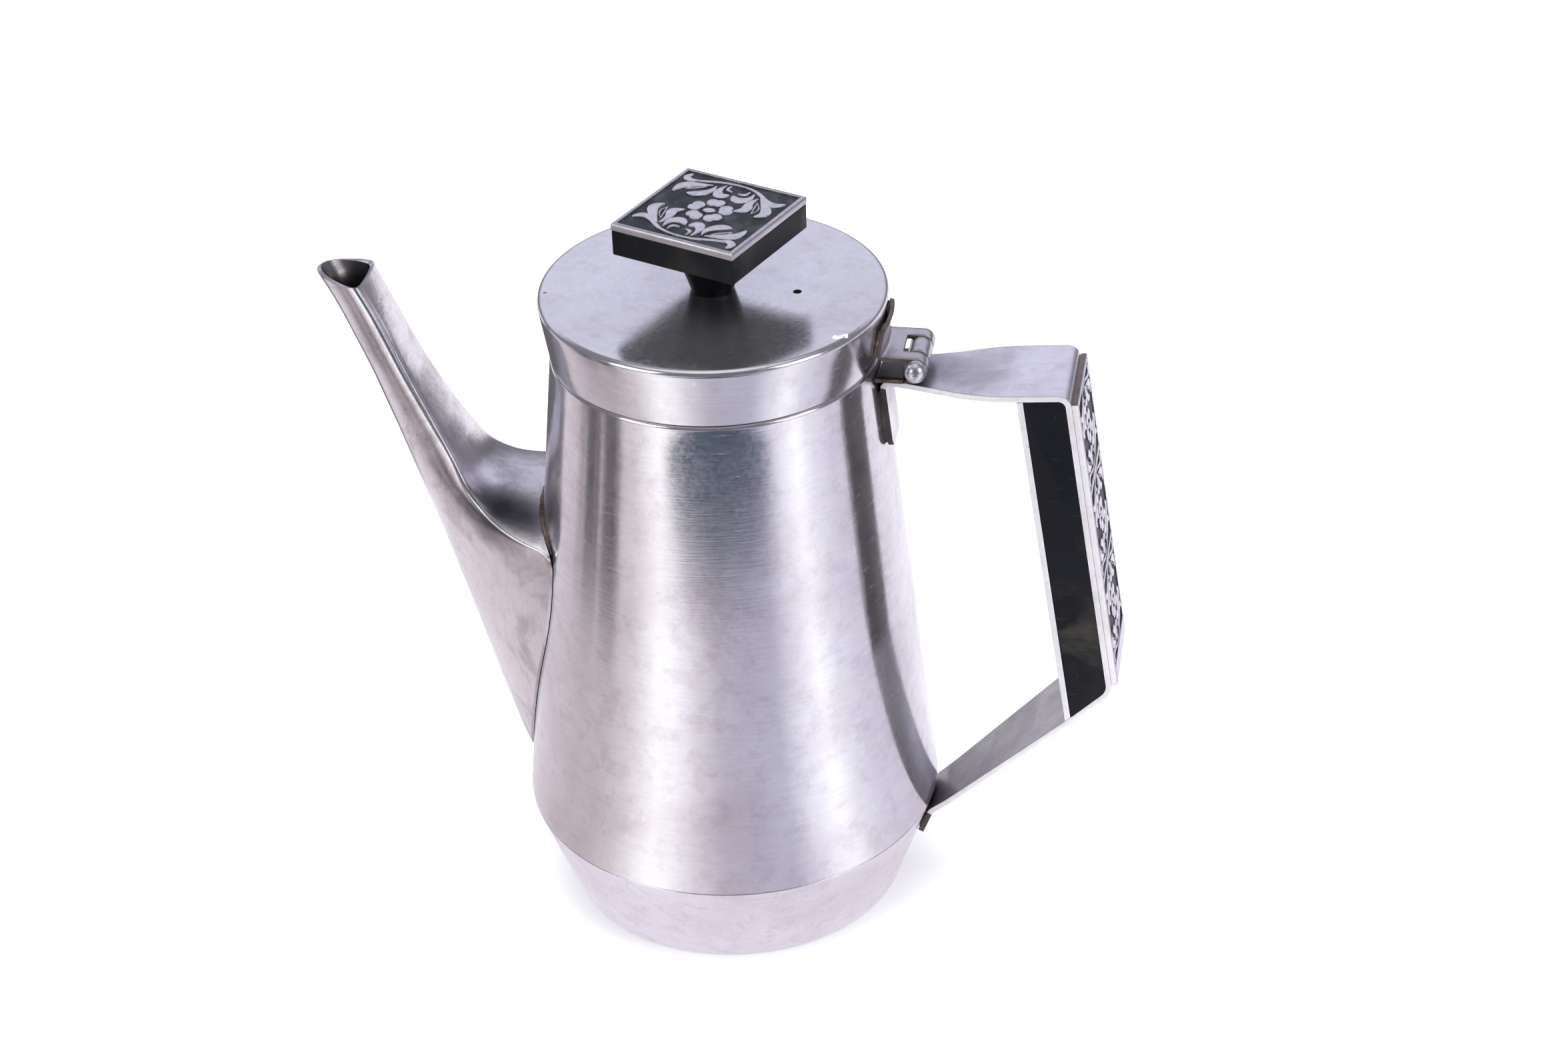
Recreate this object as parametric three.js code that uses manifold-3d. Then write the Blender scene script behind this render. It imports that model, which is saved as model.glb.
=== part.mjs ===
// Hinged-lid stainless steel coffee pot: a straight double-cone body, a beak spout, a bent strap
// handle with a black grip, and a flat lid with a square knob. Millimetres, +Z up.
// The origin is the centre of the flat bottom. The spout points along -X and the handle along +X.

import * as THREE from 'three';
import { mergeVertices } from 'three/addons/utils/BufferGeometryUtils.js';
import Module from 'manifold-3d';

const wasm = await Module();
wasm.setup();

// ---------------------------------------------------------------- driving dimensions

const GAP = 0.3; // clearance left between touching pieces
const SHEET = 1.0; // body and lid sheet
const TURN_STEPS = 64; // facets round a turned piece

// body: base radius, widest ridge, mouth
const BASE_R = 44.6;
const BASE_CORNER_R = 2.2;
const RIDGE_R = 54.3;
const RIDGE_Z = 28.0;
const SEAM_Z = 158.0;
const SEAM_R = 40.7;
const SHOULDER_R = 1.1;
const LIP_HEIGHT = 4.0; // spigot of the base inside the upper cone

// strainer holes in the wall behind the spout
const HOLE_R = 2.5;
const HOLE_PITCH = 8.0;
const HOLE_ROWS = 6;
const FIRST_HOLE_Z = 60.0;

// lid
const LID_R = 43.0;
const LID_RIM_Z = 173.9;
const LID_DISH = 1.7; // how far the middle of the top lies below the rim
const LID_ROLL = 3.9; // radius of the rolled rim
const SKIRT_R = 40.7;
const VENT_X = 20.9;
const VENT_R = 1.1;
const SCREW_HOLE_R = 2.3;
const COLLAR_R = 37.9;
const COLLAR_DEPTH = 6.5;
const COLLAR_SHEET = 0.8;
const COLLAR_TOP_Z = 166.0;

// knob
const KNOB_SIDE = 34.1;
const KNOB_TURN = THREE.MathUtils.degToRad(-21.6);
const KNOB_TOP_Z = 194.6;
const KNOB_PLATE = 1.9;
const KNOB_BLOCK_Z = 186.1;
const STEM_FOOT_R = 5.2;
const STEM_BORE_TOP_Z = 184.0;
const PLATE_RIM = 1.3; // raised rim round a relief plate
const PLATE_SUNK = 0.6; // depth of its sunk field

// hinge
const PIN_X = 50.7;
const PIN_Z = 158.1;
const PIN_R = 1.45;
const KNUCKLE_R = 2.9;
const KNUCKLE_BORE_R = 1.75;
const LEAF = 1.15;
const LEAF_HALF = 8.0;
const FINGER_IN = 4.05; // inner face of the upper leaf's two fingers
const KNUCKLE_HALF = 3.75; // half length of the lower leaf's knuckle
const SLOT_X = 47.2;
const FLANGE_TOP_Z = 168.8;
const PLATE_Z = 153.95; // underside of the lower leaf
const PIN_HEAD_R = 2.6;

// handle strap and grip
const STRAP = 1.5;
const GRIP_HALF = 12.9;
const BLOCK_DEPTH = 9.75;
const STRIP = 1.3;
const BEZEL = 1.35; // thickness of the outer relief plate
const BEZEL_TOP_Z = 153.4;
const BEZEL_BOTTOM_Z = 72.6;
const TILE_BAR_ZS = [128.0, 102.4, 76.6];
const SCREW_STATIONS = [22.0, 62.0]; // distances down the grip from its top corner
const SCREW_R = 1.5;
const SCREW_HEAD_R = 3.0;

// ---------------------------------------------------------------- solids

/** Merges a geometry's shared vertices, makes it face out, and returns it as a solid. */
function solidOf(geometry) {
  const bare = geometry.clone();
  bare.deleteAttribute('normal');
  bare.deleteAttribute('uv');
  const merged = mergeVertices(bare, 1e-4);
  const position = merged.attributes.position;
  const triangles = [];
  let volume = 0;
  const corners = [new THREE.Vector3(), new THREE.Vector3(), new THREE.Vector3()];
  for (let i = 0; i < merged.index.count; i += 3) {
    const triangle = [0, 1, 2].map((k) => merged.index.getX(i + k));
    if (new Set(triangle).size < 3) continue;
    triangle.forEach((vertex, k) => corners[k].fromBufferAttribute(position, vertex));
    volume += corners[0].dot(corners[1].clone().cross(corners[2]));
    triangles.push(triangle);
  }
  if (volume < 0) triangles.forEach((triangle) => triangle.reverse());
  const mesh = new wasm.Mesh({
    numProp: 3,
    vertProperties: new Float32Array(position.array),
    triVerts: new Uint32Array(triangles.flat()),
  });
  return new wasm.Manifold(mesh);
}

/** Returns a solid's surface as a geometry. */
function geometryOf(solid) {
  const mesh = solid.getMesh();
  const geometry = new THREE.BufferGeometry();
  geometry.setAttribute('position', new THREE.BufferAttribute(mesh.vertProperties, 3));
  geometry.setIndex(new THREE.BufferAttribute(mesh.triVerts, 1));
  geometry.computeVertexNormals();
  return geometry;
}

/** Turns a closed profile of [radius, height] points about Z. */
function turned(profile, steps = TURN_STEPS) {
  const points = profile.map(([radius, height]) => new THREE.Vector2(radius, height));
  const closes = profile[0][0] > 0 || profile[profile.length - 1][0] > 0;
  if (closes) points.push(points[0].clone());
  return solidOf(new THREE.LatheGeometry(points, steps).rotateX(Math.PI / 2));
}

/** Pushes a closed outline of [x, z] points along Y, from one y to another. */
function pushed(outline, fromY, toY) {
  const shape = new THREE.Shape(outline.map(([x, z]) => new THREE.Vector2(x, z)));
  const geometry = new THREE.ExtrudeGeometry(shape, { depth: toY - fromY, bevelEnabled: false });
  return solidOf(geometry.rotateX(Math.PI / 2).translate(0, toY, 0));
}

/** A box from its lowest and highest corners. */
function block(low, high) {
  const size = high.map((value, axis) => value - low[axis]);
  const geometry = new THREE.BoxGeometry(...size);
  return solidOf(geometry.translate(...low.map((value, axis) => value + size[axis] / 2)));
}

/** A cylinder whose axis runs from one point to another. */
function rod(from, to, radius, endRadius = radius, steps = 20) {
  const axis = to.clone().sub(from);
  const geometry = new THREE.CylinderGeometry(endRadius, radius, axis.length(), steps);
  const turn = new THREE.Quaternion().setFromUnitVectors(
    new THREE.Vector3(0, 1, 0),
    axis.clone().normalize(),
  );
  const middle = from.clone().add(to).multiplyScalar(0.5);
  return solidOf(geometry.applyQuaternion(turn).translate(middle.x, middle.y, middle.z));
}

/** Skins a row of rings that hold the same number of points, with a flat cap at each end. */
function lofted(rings) {
  const count = rings[0].length;
  const index = [];
  for (let ring = 0; ring + 1 < rings.length; ring += 1) {
    for (let i = 0; i < count; i += 1) {
      const a = ring * count + i;
      const b = ring * count + ((i + 1) % count);
      index.push(a, b, a + count, b, b + count, a + count);
    }
  }
  const last = (rings.length - 1) * count;
  for (let i = 1; i + 1 < count; i += 1) {
    index.push(0, i + 1, i);
    index.push(last, last + i, last + i + 1);
  }
  const geometry = new THREE.BufferGeometry();
  const points = rings.flat().flatMap((point) => [point.x, point.y, point.z]);
  geometry.setAttribute('position', new THREE.Float32BufferAttribute(points, 3));
  geometry.setIndex(index);
  return solidOf(geometry);
}

/** Points of an arc, as [x, z] pairs, both ends included; angles in degrees. */
function arc(centreX, centreZ, radius, fromDegrees, toDegrees, steps) {
  return Array.from({ length: steps + 1 }, (_, i) => {
    const angle = THREE.MathUtils.degToRad(fromDegrees + ((toDegrees - fromDegrees) * i) / steps);
    return [centreX + radius * Math.cos(angle), centreZ + radius * Math.sin(angle)];
  });
}

/** A value read from a rising table of [key, value] rows, straight between the rows. */
function between(rows, key) {
  const upper = rows.findIndex(([rowKey]) => rowKey >= key);
  if (upper === 0) return rows[0][1];
  if (upper < 0) return rows[rows.length - 1][1];
  const [lowKey, lowValue] = rows[upper - 1];
  const [highKey, highValue] = rows[upper];
  return lowValue + ((highValue - lowValue) * (key - lowKey)) / (highKey - lowKey);
}

// ---------------------------------------------------------------- body

/** Outer radius of the pot's wall at a height. */
function wallR(z) {
  return between([[0, BASE_R], [RIDGE_Z, RIDGE_R], [SEAM_Z, SEAM_R]], z);
}

/** The pot's outside as a full solid, grown outward by a clearance. */
function potEnvelope(clearance) {
  const profile = [
    [0, -clearance],
    [BASE_R + clearance, -clearance],
    [RIDGE_R + clearance, RIDGE_Z],
    [SEAM_R + clearance, SEAM_Z],
    [0, SEAM_Z],
  ];
  return turned(profile);
}

/** Upper cone, with a rounded shoulder at the mouth and strainer holes behind the spout. */
function bodyShell() {
  const bottomZ = RIDGE_Z + GAP / 2;
  const shoulderZ = SEAM_Z - GAP / 2 - SHOULDER_R;
  const shoulderX = wallR(shoulderZ) - SHOULDER_R;
  const profile = [
    [wallR(bottomZ), bottomZ],
    ...arc(shoulderX, shoulderZ, SHOULDER_R, 0, 90, 3),
    [shoulderX - SHEET * 0.5, shoulderZ + SHOULDER_R],
    [wallR(shoulderZ) - SHEET * 1.6, shoulderZ],
    [wallR(shoulderZ - 4) - SHEET, shoulderZ - 4],
    [wallR(bottomZ) - SHEET, bottomZ],
  ];
  let solid = turned(profile);
  for (let row = 0; row < HOLE_ROWS; row += 1) {
    const z = FIRST_HOLE_Z + row * HOLE_PITCH;
    const across = row % 2 === 0 ? [-1, 0, 1] : [-0.5, 0.5];
    for (const step of across) {
      const y = step * HOLE_PITCH;
      const inside = new THREE.Vector3(-wallR(z) + 6, y, z);
      const outside = new THREE.Vector3(-wallR(z) - 4, y, z);
      solid = solid.subtract(rod(inside, outside, HOLE_R, HOLE_R, 10));
    }
  }
  return solid;
}

/** Lower cone and flat bottom, with a spigot that fits inside the upper cone. */
function baseCup() {
  const topZ = RIDGE_Z - GAP / 2;
  const lipTopZ = RIDGE_Z + LIP_HEIGHT;
  const lipR = (z) => wallR(z) - SHEET - GAP;
  const lipSheet = 0.8;
  const profile = [
    [0, 0],
    ...arc(BASE_R - BASE_CORNER_R, BASE_CORNER_R, BASE_CORNER_R, -90, -20, 3),
    [wallR(topZ), topZ],
    [lipR(RIDGE_Z + GAP), topZ],
    [lipR(lipTopZ), lipTopZ],
    [lipR(lipTopZ) - lipSheet, lipTopZ],
    [lipR(RIDGE_Z) - lipSheet, RIDGE_Z],
    [BASE_R - SHEET, SHEET * 1.6],
    [BASE_R - SHEET * 2.2, SHEET],
    [0, SHEET],
  ];
  return turned(profile);
}

// ---------------------------------------------------------------- spout

// Stations down the spout. The back line is the flat upper face, with its half width between the
// two creases; the nose line is the front edge. Both curve into the pot at their lower ends.
const SPOUT_STATIONS = [
  { back: [-87.2, 171.7], half: 7.1, nose: [-100.2, 173.4] },
  { back: [-83.6, 163.6], half: 6.9, nose: [-96.2, 165.0] },
  { back: [-80.2, 155.3], half: 7.2, nose: [-92.5, 155.6] },
  { back: [-76.8, 147.0], half: 7.8, nose: [-89.2, 147.0] },
  { back: [-73.2, 139.2], half: 8.6, nose: [-86.4, 138.6] },
  { back: [-69.6, 131.8], half: 9.6, nose: [-83.9, 130.8] },
  { back: [-66.4, 125.7], half: 10.8, nose: [-81.7, 123.6] },
  { back: [-63.3, 120.1], half: 12.8, nose: [-79.8, 117.3] },
  { back: [-59.8, 116.2], half: 15.1, nose: [-78.1, 111.6] },
  { back: [-56.0, 113.4], half: 17.6, nose: [-76.5, 106.2] },
  { back: [-51.2, 111.3], half: 20.5, nose: [-74.9, 100.6] },
  { back: [-45.0, 109.8], half: 23.4, nose: [-73.0, 93.6] },
  { back: [-38.6, 107.4], half: 25.9, nose: [-70.6, 84.8] },
  { back: [-36.0, 97.5], half: 28.3, nose: [-68.3, 76.6] },
  { back: [-37.0, 84.0], half: 27.9, nose: [-65.8, 67.4] },
  { back: [-39.5, 70.0], half: 24.9, nose: [-63.3, 57.8] },
  { back: [-42.5, 56.5], half: 21.4, nose: [-60.7, 48.6] },
  { back: [-45.0, 44.5], half: 18.2, nose: [-58.1, 39.6] },
  { back: [-46.0, 35.0], half: 14.0, nose: [-55.5, 32.6] },
  { back: [-45.0, 27.0], half: 9.0, nose: [-51.2, 26.4] },
];
const SPOUT_SHEET = 1.1;
const SPOUT_SIDE_STEPS = 7;

/** Unit normal of a line through [x, z] points at one of them, to the left of its run. */
function leftNormal(points, i) {
  const [ax, az] = points[Math.max(i - 1, 0)];
  const [bx, bz] = points[Math.min(i + 1, points.length - 1)];
  const length = Math.hypot(bx - ax, bz - az);
  return [-(bz - az) / length, (bx - ax) / length];
}

/** Rings round the spout, moved inward by a depth; each is a D, flat at the back. */
function spoutRings(depth) {
  const backs = SPOUT_STATIONS.map((station) => station.back);
  const noses = SPOUT_STATIONS.map((station) => station.nose);
  return SPOUT_STATIONS.map((station, i) => {
    const along = i / (SPOUT_STATIONS.length - 1);
    const nosePower = THREE.MathUtils.lerp(2.0, 1.15, Math.min(1, along * 1.8));
    const sidePower = THREE.MathUtils.lerp(1.9, 1.3, Math.min(1, along * 1.8));
    const backNormal = leftNormal(backs, i);
    const noseNormal = leftNormal(noses, i);
    const back = station.back.map((value, axis) => value - backNormal[axis] * depth);
    const nose = station.nose.map((value, axis) => value + noseNormal[axis] * depth * 1.2);
    const half = station.half - depth * 1.15;
    const side = Array.from({ length: SPOUT_SIDE_STEPS }, (_, k) => {
      const reach = Math.sin(((k + 0.35) / SPOUT_SIDE_STEPS) * (Math.PI / 2));
      const width = half * (1 - reach ** nosePower) ** (1 / sidePower);
      return [back[0] + (nose[0] - back[0]) * reach, width, back[1] + (nose[1] - back[1]) * reach];
    });
    const near = [[back[0], half, back[1]], ...side];
    const ring = [...near, [nose[0], 0, nose[1]], ...near.map(([x, y, z]) => [x, -y, z]).reverse()];
    return ring.map(([x, y, z]) => new THREE.Vector3(x, y, z));
  });
}

/** Beak spout: a sheet shell, open at its mouth and against the pot's wall. */
function spoutShell() {
  const outer = lofted(spoutRings(0));
  const innerRings = spoutRings(SPOUT_SHEET);
  const mouth = innerRings[0];
  const upward = mouth.map((point, i) => point.clone().multiplyScalar(2).sub(innerRings[1][i]));
  const inner = lofted([upward, ...innerRings]);
  return outer.subtract(inner).subtract(potEnvelope(GAP));
}

// ---------------------------------------------------------------- handle

const TAB_BOTTOM_Z = 134.6; // lower end of the upper tab, on the pot's wall
const TAB_TOP_Z = 152.75;
const ARM_KINK = [74.5, 154.15];
const GRIP_TOP = [87.9, 155.25];
const GRIP_BOTTOM = [100.15, 70.3];
const ARM_FOOT = [54.3, 24.2];
const FOOT_TIP_Z = 16.3;
const TAB_OFF = GAP + STRAP / 2; // from the pot's wall to a tab's middle line
// Middle line of the strap, [x, z, bend radius], from its upper tab round to its lower tab.
const STRAP_CORNERS = [
  [wallR(TAB_BOTTOM_Z) + TAB_OFF, TAB_BOTTOM_Z, 0],
  [wallR(TAB_TOP_Z) + TAB_OFF, TAB_TOP_Z, 2.0],
  [61.0, 153.05, 40],
  [...ARM_KINK, 60],
  [...GRIP_TOP, 2.6],
  [...GRIP_BOTTOM, 4.5],
  [...ARM_FOOT, 4.0],
  [wallR(FOOT_TIP_Z) + TAB_OFF * 1.06, FOOT_TIP_Z, 0],
];
// Half width of the strap, by distance along its middle line.
const STRAP_WIDTHS = [
  [0, 4.6],
  [1.2, 5.6],
  [19.2, 6.0],
  [22.2, 6.8],
  [30.2, 8.9],
  [36.2, 10.7],
  [41.7, 12.1],
  [46.2, 12.75],
  [51.2, GRIP_HALF],
  [160.5, GRIP_HALF],
  [210.5, 8.2],
  [217.5, 7.2],
  [220.5, 6.4],
];

/** Rounds the corners of a middle line; returns [x, z] points. */
function roundedLine(corners, stepDegrees = 11) {
  const points = [];
  corners.forEach(([x, z, radius], i) => {
    if (radius === 0) {
      points.push(new THREE.Vector2(x, z));
      return;
    }
    const corner = new THREE.Vector2(x, z);
    const before = new THREE.Vector2(corners[i - 1][0], corners[i - 1][1]).sub(corner).normalize();
    const after = new THREE.Vector2(corners[i + 1][0], corners[i + 1][1]).sub(corner).normalize();
    const halfAngle = Math.acos(THREE.MathUtils.clamp(before.dot(after), -1, 1)) / 2;
    const reach = radius / Math.tan(halfAngle);
    const centre = before.clone().add(after).normalize().multiplyScalar(radius / Math.sin(halfAngle));
    centre.add(corner);
    const start = before.multiplyScalar(reach).add(corner).sub(centre);
    const end = after.multiplyScalar(reach).add(corner).sub(centre);
    const turn = Math.atan2(start.cross(end), start.dot(end));
    const steps = Math.max(2, Math.ceil(Math.abs(THREE.MathUtils.radToDeg(turn)) / stepDegrees));
    for (let step = 0; step <= steps; step += 1) {
      const spoke = start.clone().rotateAround(new THREE.Vector2(), (turn * step) / steps);
      points.push(spoke.add(centre));
    }
  });
  return points;
}

/** Adds points so that no two neighbours are further apart than a step. */
function refined(points, longest) {
  const dense = [points[0]];
  for (let i = 1; i < points.length; i += 1) {
    const pieces = Math.ceil(points[i].distanceTo(points[i - 1]) / longest);
    for (let piece = 1; piece <= pieces; piece += 1) {
      dense.push(points[i - 1].clone().lerp(points[i], piece / pieces));
    }
  }
  return dense;
}

/** Bent strap, one strip of sheet that narrows towards both of its tabs. */
function strapSolid() {
  const line = refined(roundedLine(STRAP_CORNERS), 7);
  let travelled = 0;
  const rings = line.map((point, i) => {
    if (i > 0) travelled += point.distanceTo(line[i - 1]);
    const before = line[Math.max(i - 1, 0)];
    const after = line[Math.min(i + 1, line.length - 1)];
    const run = after.clone().sub(before).normalize();
    const normal = new THREE.Vector2(-run.y, run.x).multiplyScalar(STRAP / 2);
    const half = between(STRAP_WIDTHS, travelled);
    return [[1, 1], [1, -1], [-1, -1], [-1, 1]].map(([face, side]) => {
      const corner = point.clone().addScaledVector(normal, face);
      return new THREE.Vector3(corner.x, side * half, corner.y);
    });
  });
  return lofted(rings);
}

const GRIP_RUN = new THREE.Vector2(...GRIP_BOTTOM).sub(new THREE.Vector2(...GRIP_TOP)).normalize();
const GRIP_IN = new THREE.Vector2(GRIP_RUN.y, -GRIP_RUN.x); // from the strap towards the pot
const ARM_TOP_RUN = new THREE.Vector2(...GRIP_TOP).sub(new THREE.Vector2(...ARM_KINK)).normalize();
const ARM_LOW_RUN = new THREE.Vector2(...ARM_FOOT).sub(new THREE.Vector2(...GRIP_BOTTOM)).normalize();

/** Where the grip's line, moved in by a depth, meets an arm's line, moved in by a clearance. */
function gripCorner(depth, armPoint, armRun, armIn) {
  const start = new THREE.Vector2(...GRIP_TOP).addScaledVector(GRIP_IN, depth);
  const offset = new THREE.Vector2(-armRun.y, armRun.x).multiplyScalar(armIn);
  const base = new THREE.Vector2(...armPoint).add(offset);
  const along = base.clone().sub(start).cross(armRun) / GRIP_RUN.cross(armRun);
  return start.addScaledVector(GRIP_RUN, along);
}

/** Four corners of a layer of the grip between two depths under the strap. */
function gripLayer(fromDepth, toDepth) {
  const inset = -(STRAP / 2 + GAP);
  return [
    gripCorner(fromDepth, GRIP_TOP, ARM_TOP_RUN, inset),
    gripCorner(toDepth, GRIP_TOP, ARM_TOP_RUN, inset),
    gripCorner(toDepth, GRIP_BOTTOM, ARM_LOW_RUN, inset),
    gripCorner(fromDepth, GRIP_BOTTOM, ARM_LOW_RUN, inset),
  ];
}

const BLOCK_FROM = STRAP / 2 + GAP;
const BLOCK_TO = BLOCK_FROM + BLOCK_DEPTH;
const STRIP_FROM = BLOCK_TO + GAP;
const STRIP_TO = STRIP_FROM + STRIP;

/** A point of the grip: a distance down it and a depth in from the strap's middle line. */
function gripPoint(down, depth, y = 0) {
  const point = new THREE.Vector2(...GRIP_TOP).addScaledVector(GRIP_RUN, down);
  point.addScaledVector(GRIP_IN, depth);
  return new THREE.Vector3(point.x, y, point.y);
}

/** Clearance holes for the two grip screws, through a range of depths. */
function gripHoles(fromDepth, toDepth, radius) {
  const [upper, lower] = SCREW_STATIONS.map((down) => {
    return rod(gripPoint(down, fromDepth), gripPoint(down, toDepth), radius);
  });
  return upper.add(lower);
}

function handleStrap() {
  return strapSolid().subtract(gripHoles(-STRAP, STRAP, SCREW_R + GAP));
}

/** Black grip block, its two outer corners rounded to lie in the strap's bends. */
function gripBlock() {
  const corners = gripLayer(BLOCK_FROM, BLOCK_TO);
  const radii = [1.6, 0, 0, 3.2];
  const outline = roundedLoop(corners.map((corner, i) => [corner.x, corner.y, radii[i]]));
  const solid = pushed(outline, -GRIP_HALF, GRIP_HALF);
  return solid.subtract(gripHoles(0, STRIP_TO, SCREW_R + GAP));
}

/** Rounds the corners of a closed outline of [x, z, radius] corners. */
function roundedLoop(corners) {
  return corners.flatMap(([x, z, radius], i) => {
    if (radius === 0) return [[x, z]];
    const before = corners[(i + corners.length - 1) % corners.length];
    const after = corners[(i + 1) % corners.length];
    const ends = [[...before.slice(0, 2), 0], [x, z, radius], [...after.slice(0, 2), 0]];
    return roundedLine(ends).slice(1, -1).map((point) => [point.x, point.y]);
  });
}

/** Steel strip on the finger side of the grip, countersunk for the two screws. */
function gripStrip() {
  const outline = gripLayer(STRIP_FROM, STRIP_TO).map((corner) => [corner.x, corner.y]);
  let solid = pushed(outline, -GRIP_HALF, GRIP_HALF);
  solid = solid.subtract(gripHoles(STRIP_FROM - 1, STRIP_TO + 1, SCREW_R + GAP));
  for (const down of SCREW_STATIONS) {
    const narrow = gripPoint(down, STRIP_FROM);
    const wide = gripPoint(down, STRIP_TO + 0.01);
    solid = solid.subtract(rod(narrow, wide, SCREW_R + GAP, SCREW_HEAD_R + GAP));
  }
  return solid;
}

/** Countersunk screw from the finger side through the grip into the strap. */
function gripScrew(down) {
  const tip = gripPoint(down, -STRAP / 2 + 0.1);
  const neck = gripPoint(down, STRIP_FROM);
  const top = gripPoint(down, STRIP_TO - 0.05);
  const shank = rod(tip, gripPoint(down, STRIP_TO - 0.4), SCREW_R);
  const head = rod(neck, top, SCREW_R, SCREW_HEAD_R);
  const slotLow = [-SCREW_HEAD_R - 1, -0.4, -0.5];
  const slotHigh = [SCREW_HEAD_R + 1, 0.4, 0.5];
  const slot = block(slotLow, slotHigh).translate([top.x, top.y, top.z]);
  return shank.add(head).subtract(slot);
}

/** Relief plate on the outer face of the handle: a raised rim and cross bars round sunk fields. */
function handlePlate() {
  const under = -(STRAP / 2 + GAP);
  const top = -(STRAP / 2 + GAP + BEZEL);
  const downTo = (z) => (GRIP_TOP[1] - z) / -GRIP_RUN.y;
  const layer = (fromZ, toZ, low, high, half) => {
    const ends = [[fromZ, low], [fromZ, high], [toZ, high], [toZ, low]];
    const points = ends.map(([z, depth]) => gripPoint(downTo(z), depth));
    return pushed(points.map((point) => [point.x, point.z]), -half, half);
  };
  let solid = layer(BEZEL_TOP_Z, BEZEL_BOTTOM_Z, under, top, GRIP_HALF);
  let fieldTop = BEZEL_TOP_Z - PLATE_RIM;
  const barHalf = 0.45;
  for (const barZ of TILE_BAR_ZS) {
    const field = layer(fieldTop, barZ + barHalf, top + PLATE_SUNK, top - 1, GRIP_HALF - PLATE_RIM);
    solid = solid.subtract(field);
    fieldTop = barZ - barHalf;
  }
  return solid;
}

// ---------------------------------------------------------------- lid

/** Height of the lid's outer top surface at a radius. */
function lidTopZ(radius) {
  const flatR = LID_R - LID_ROLL;
  return LID_RIM_Z - LID_DISH * (1 - Math.min(1, radius / flatR) ** 2);
}

/** Outer radius of the lid's flared skirt at a height. */
function skirtR(z) {
  return between([[SEAM_Z, SKIRT_R], [LID_RIM_Z - LID_ROLL, LID_R]], z);
}

/** Dished disc, rolled rim and flared skirt in one sheet, with a vent and a screw hole. */
function lidShell() {
  const rollR = LID_R - LID_ROLL;
  const rollZ = LID_RIM_Z - LID_ROLL;
  const skirtBottom = SEAM_Z + GAP / 2;
  const top = [SCREW_HOLE_R, 14, 28].map((radius) => [radius, lidTopZ(radius)]);
  const under = [28, 14, SCREW_HOLE_R].map((radius) => [radius, lidTopZ(radius) - SHEET]);
  const profile = [
    ...top,
    ...arc(rollR, rollZ, LID_ROLL, 90, 0, 5),
    [skirtR(skirtBottom), skirtBottom],
    [skirtR(skirtBottom) - SHEET, skirtBottom],
    ...arc(rollR, rollZ, LID_ROLL - SHEET, 0, 90, 4),
    ...under,
  ];
  const low = new THREE.Vector3(VENT_X, 0, LID_RIM_Z - 6);
  const high = new THREE.Vector3(VENT_X, 0, LID_RIM_Z + 2);
  return turned(profile).subtract(rod(low, high, VENT_R, VENT_R, 14));
}

/** Ring fixed inside the skirt that centres the lid in the pot's mouth. */
function lidCollar() {
  const inside = (z) => skirtR(z) - SHEET - GAP;
  const shoulderZ = SEAM_Z + 1.6;
  const profile = [
    [COLLAR_R, SEAM_Z - COLLAR_DEPTH],
    [COLLAR_R, shoulderZ],
    [inside(shoulderZ + 1), shoulderZ + 1],
    [inside(COLLAR_TOP_Z), COLLAR_TOP_Z],
    [inside(COLLAR_TOP_Z) - COLLAR_SHEET, COLLAR_TOP_Z],
    [inside(shoulderZ + 1) - COLLAR_SHEET, shoulderZ + 1.6],
    [COLLAR_R - COLLAR_SHEET, shoulderZ + 0.6],
    [COLLAR_R - COLLAR_SHEET, SEAM_Z - COLLAR_DEPTH],
  ];
  return turned(profile);
}

/** Black knob: a flared round stem under a square block, with a blind bore for its screw. */
function knobBody() {
  const footZ = lidTopZ(STEM_FOOT_R) + GAP;
  const stem = turned([
    [0, footZ],
    [STEM_FOOT_R, footZ],
    [5.4, 174.0],
    [6.1, 176.3],
    [7.2, 179.6],
    [8.6, 183.0],
    [10.4, KNOB_BLOCK_Z + 0.5],
    [0, KNOB_BLOCK_Z + 0.5],
  ], 32);
  const half = KNOB_SIDE / 2;
  const square = block([-half, -half, KNOB_BLOCK_Z], [half, half, KNOB_TOP_Z - KNOB_PLATE - GAP]);
  const foot = new THREE.Vector3(0, 0, footZ - 1);
  const bore = rod(foot, new THREE.Vector3(0, 0, STEM_BORE_TOP_Z), SCREW_HOLE_R);
  return square.add(stem).subtract(bore);
}

/** Square relief plate on the knob, with a raised rim round a sunk field. */
function knobPlate() {
  const half = KNOB_SIDE / 2;
  const field = half - PLATE_RIM;
  const sunkZ = KNOB_TOP_Z - PLATE_SUNK;
  const plate = block([-half, -half, KNOB_TOP_Z - KNOB_PLATE], [half, half, KNOB_TOP_Z]);
  return plate.subtract(block([-field, -field, sunkZ], [field, field, KNOB_TOP_Z + 1]));
}

const LID_UNDER_Z = LID_RIM_Z - LID_DISH - SHEET;
const WASHER_TOP_Z = LID_UNDER_Z - GAP;
const WASHER = 1.2;
const WASHER_R = 6.5;
const KNOB_SCREW_HEAD_TOP_Z = WASHER_TOP_Z - WASHER - GAP;

function knobWasher() {
  const low = WASHER_TOP_Z - WASHER;
  const profile = [
    [SCREW_HOLE_R, low],
    [WASHER_R, low],
    [WASHER_R, WASHER_TOP_Z],
    [SCREW_HOLE_R, WASHER_TOP_Z],
  ];
  return turned(profile, 32);
}

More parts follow.
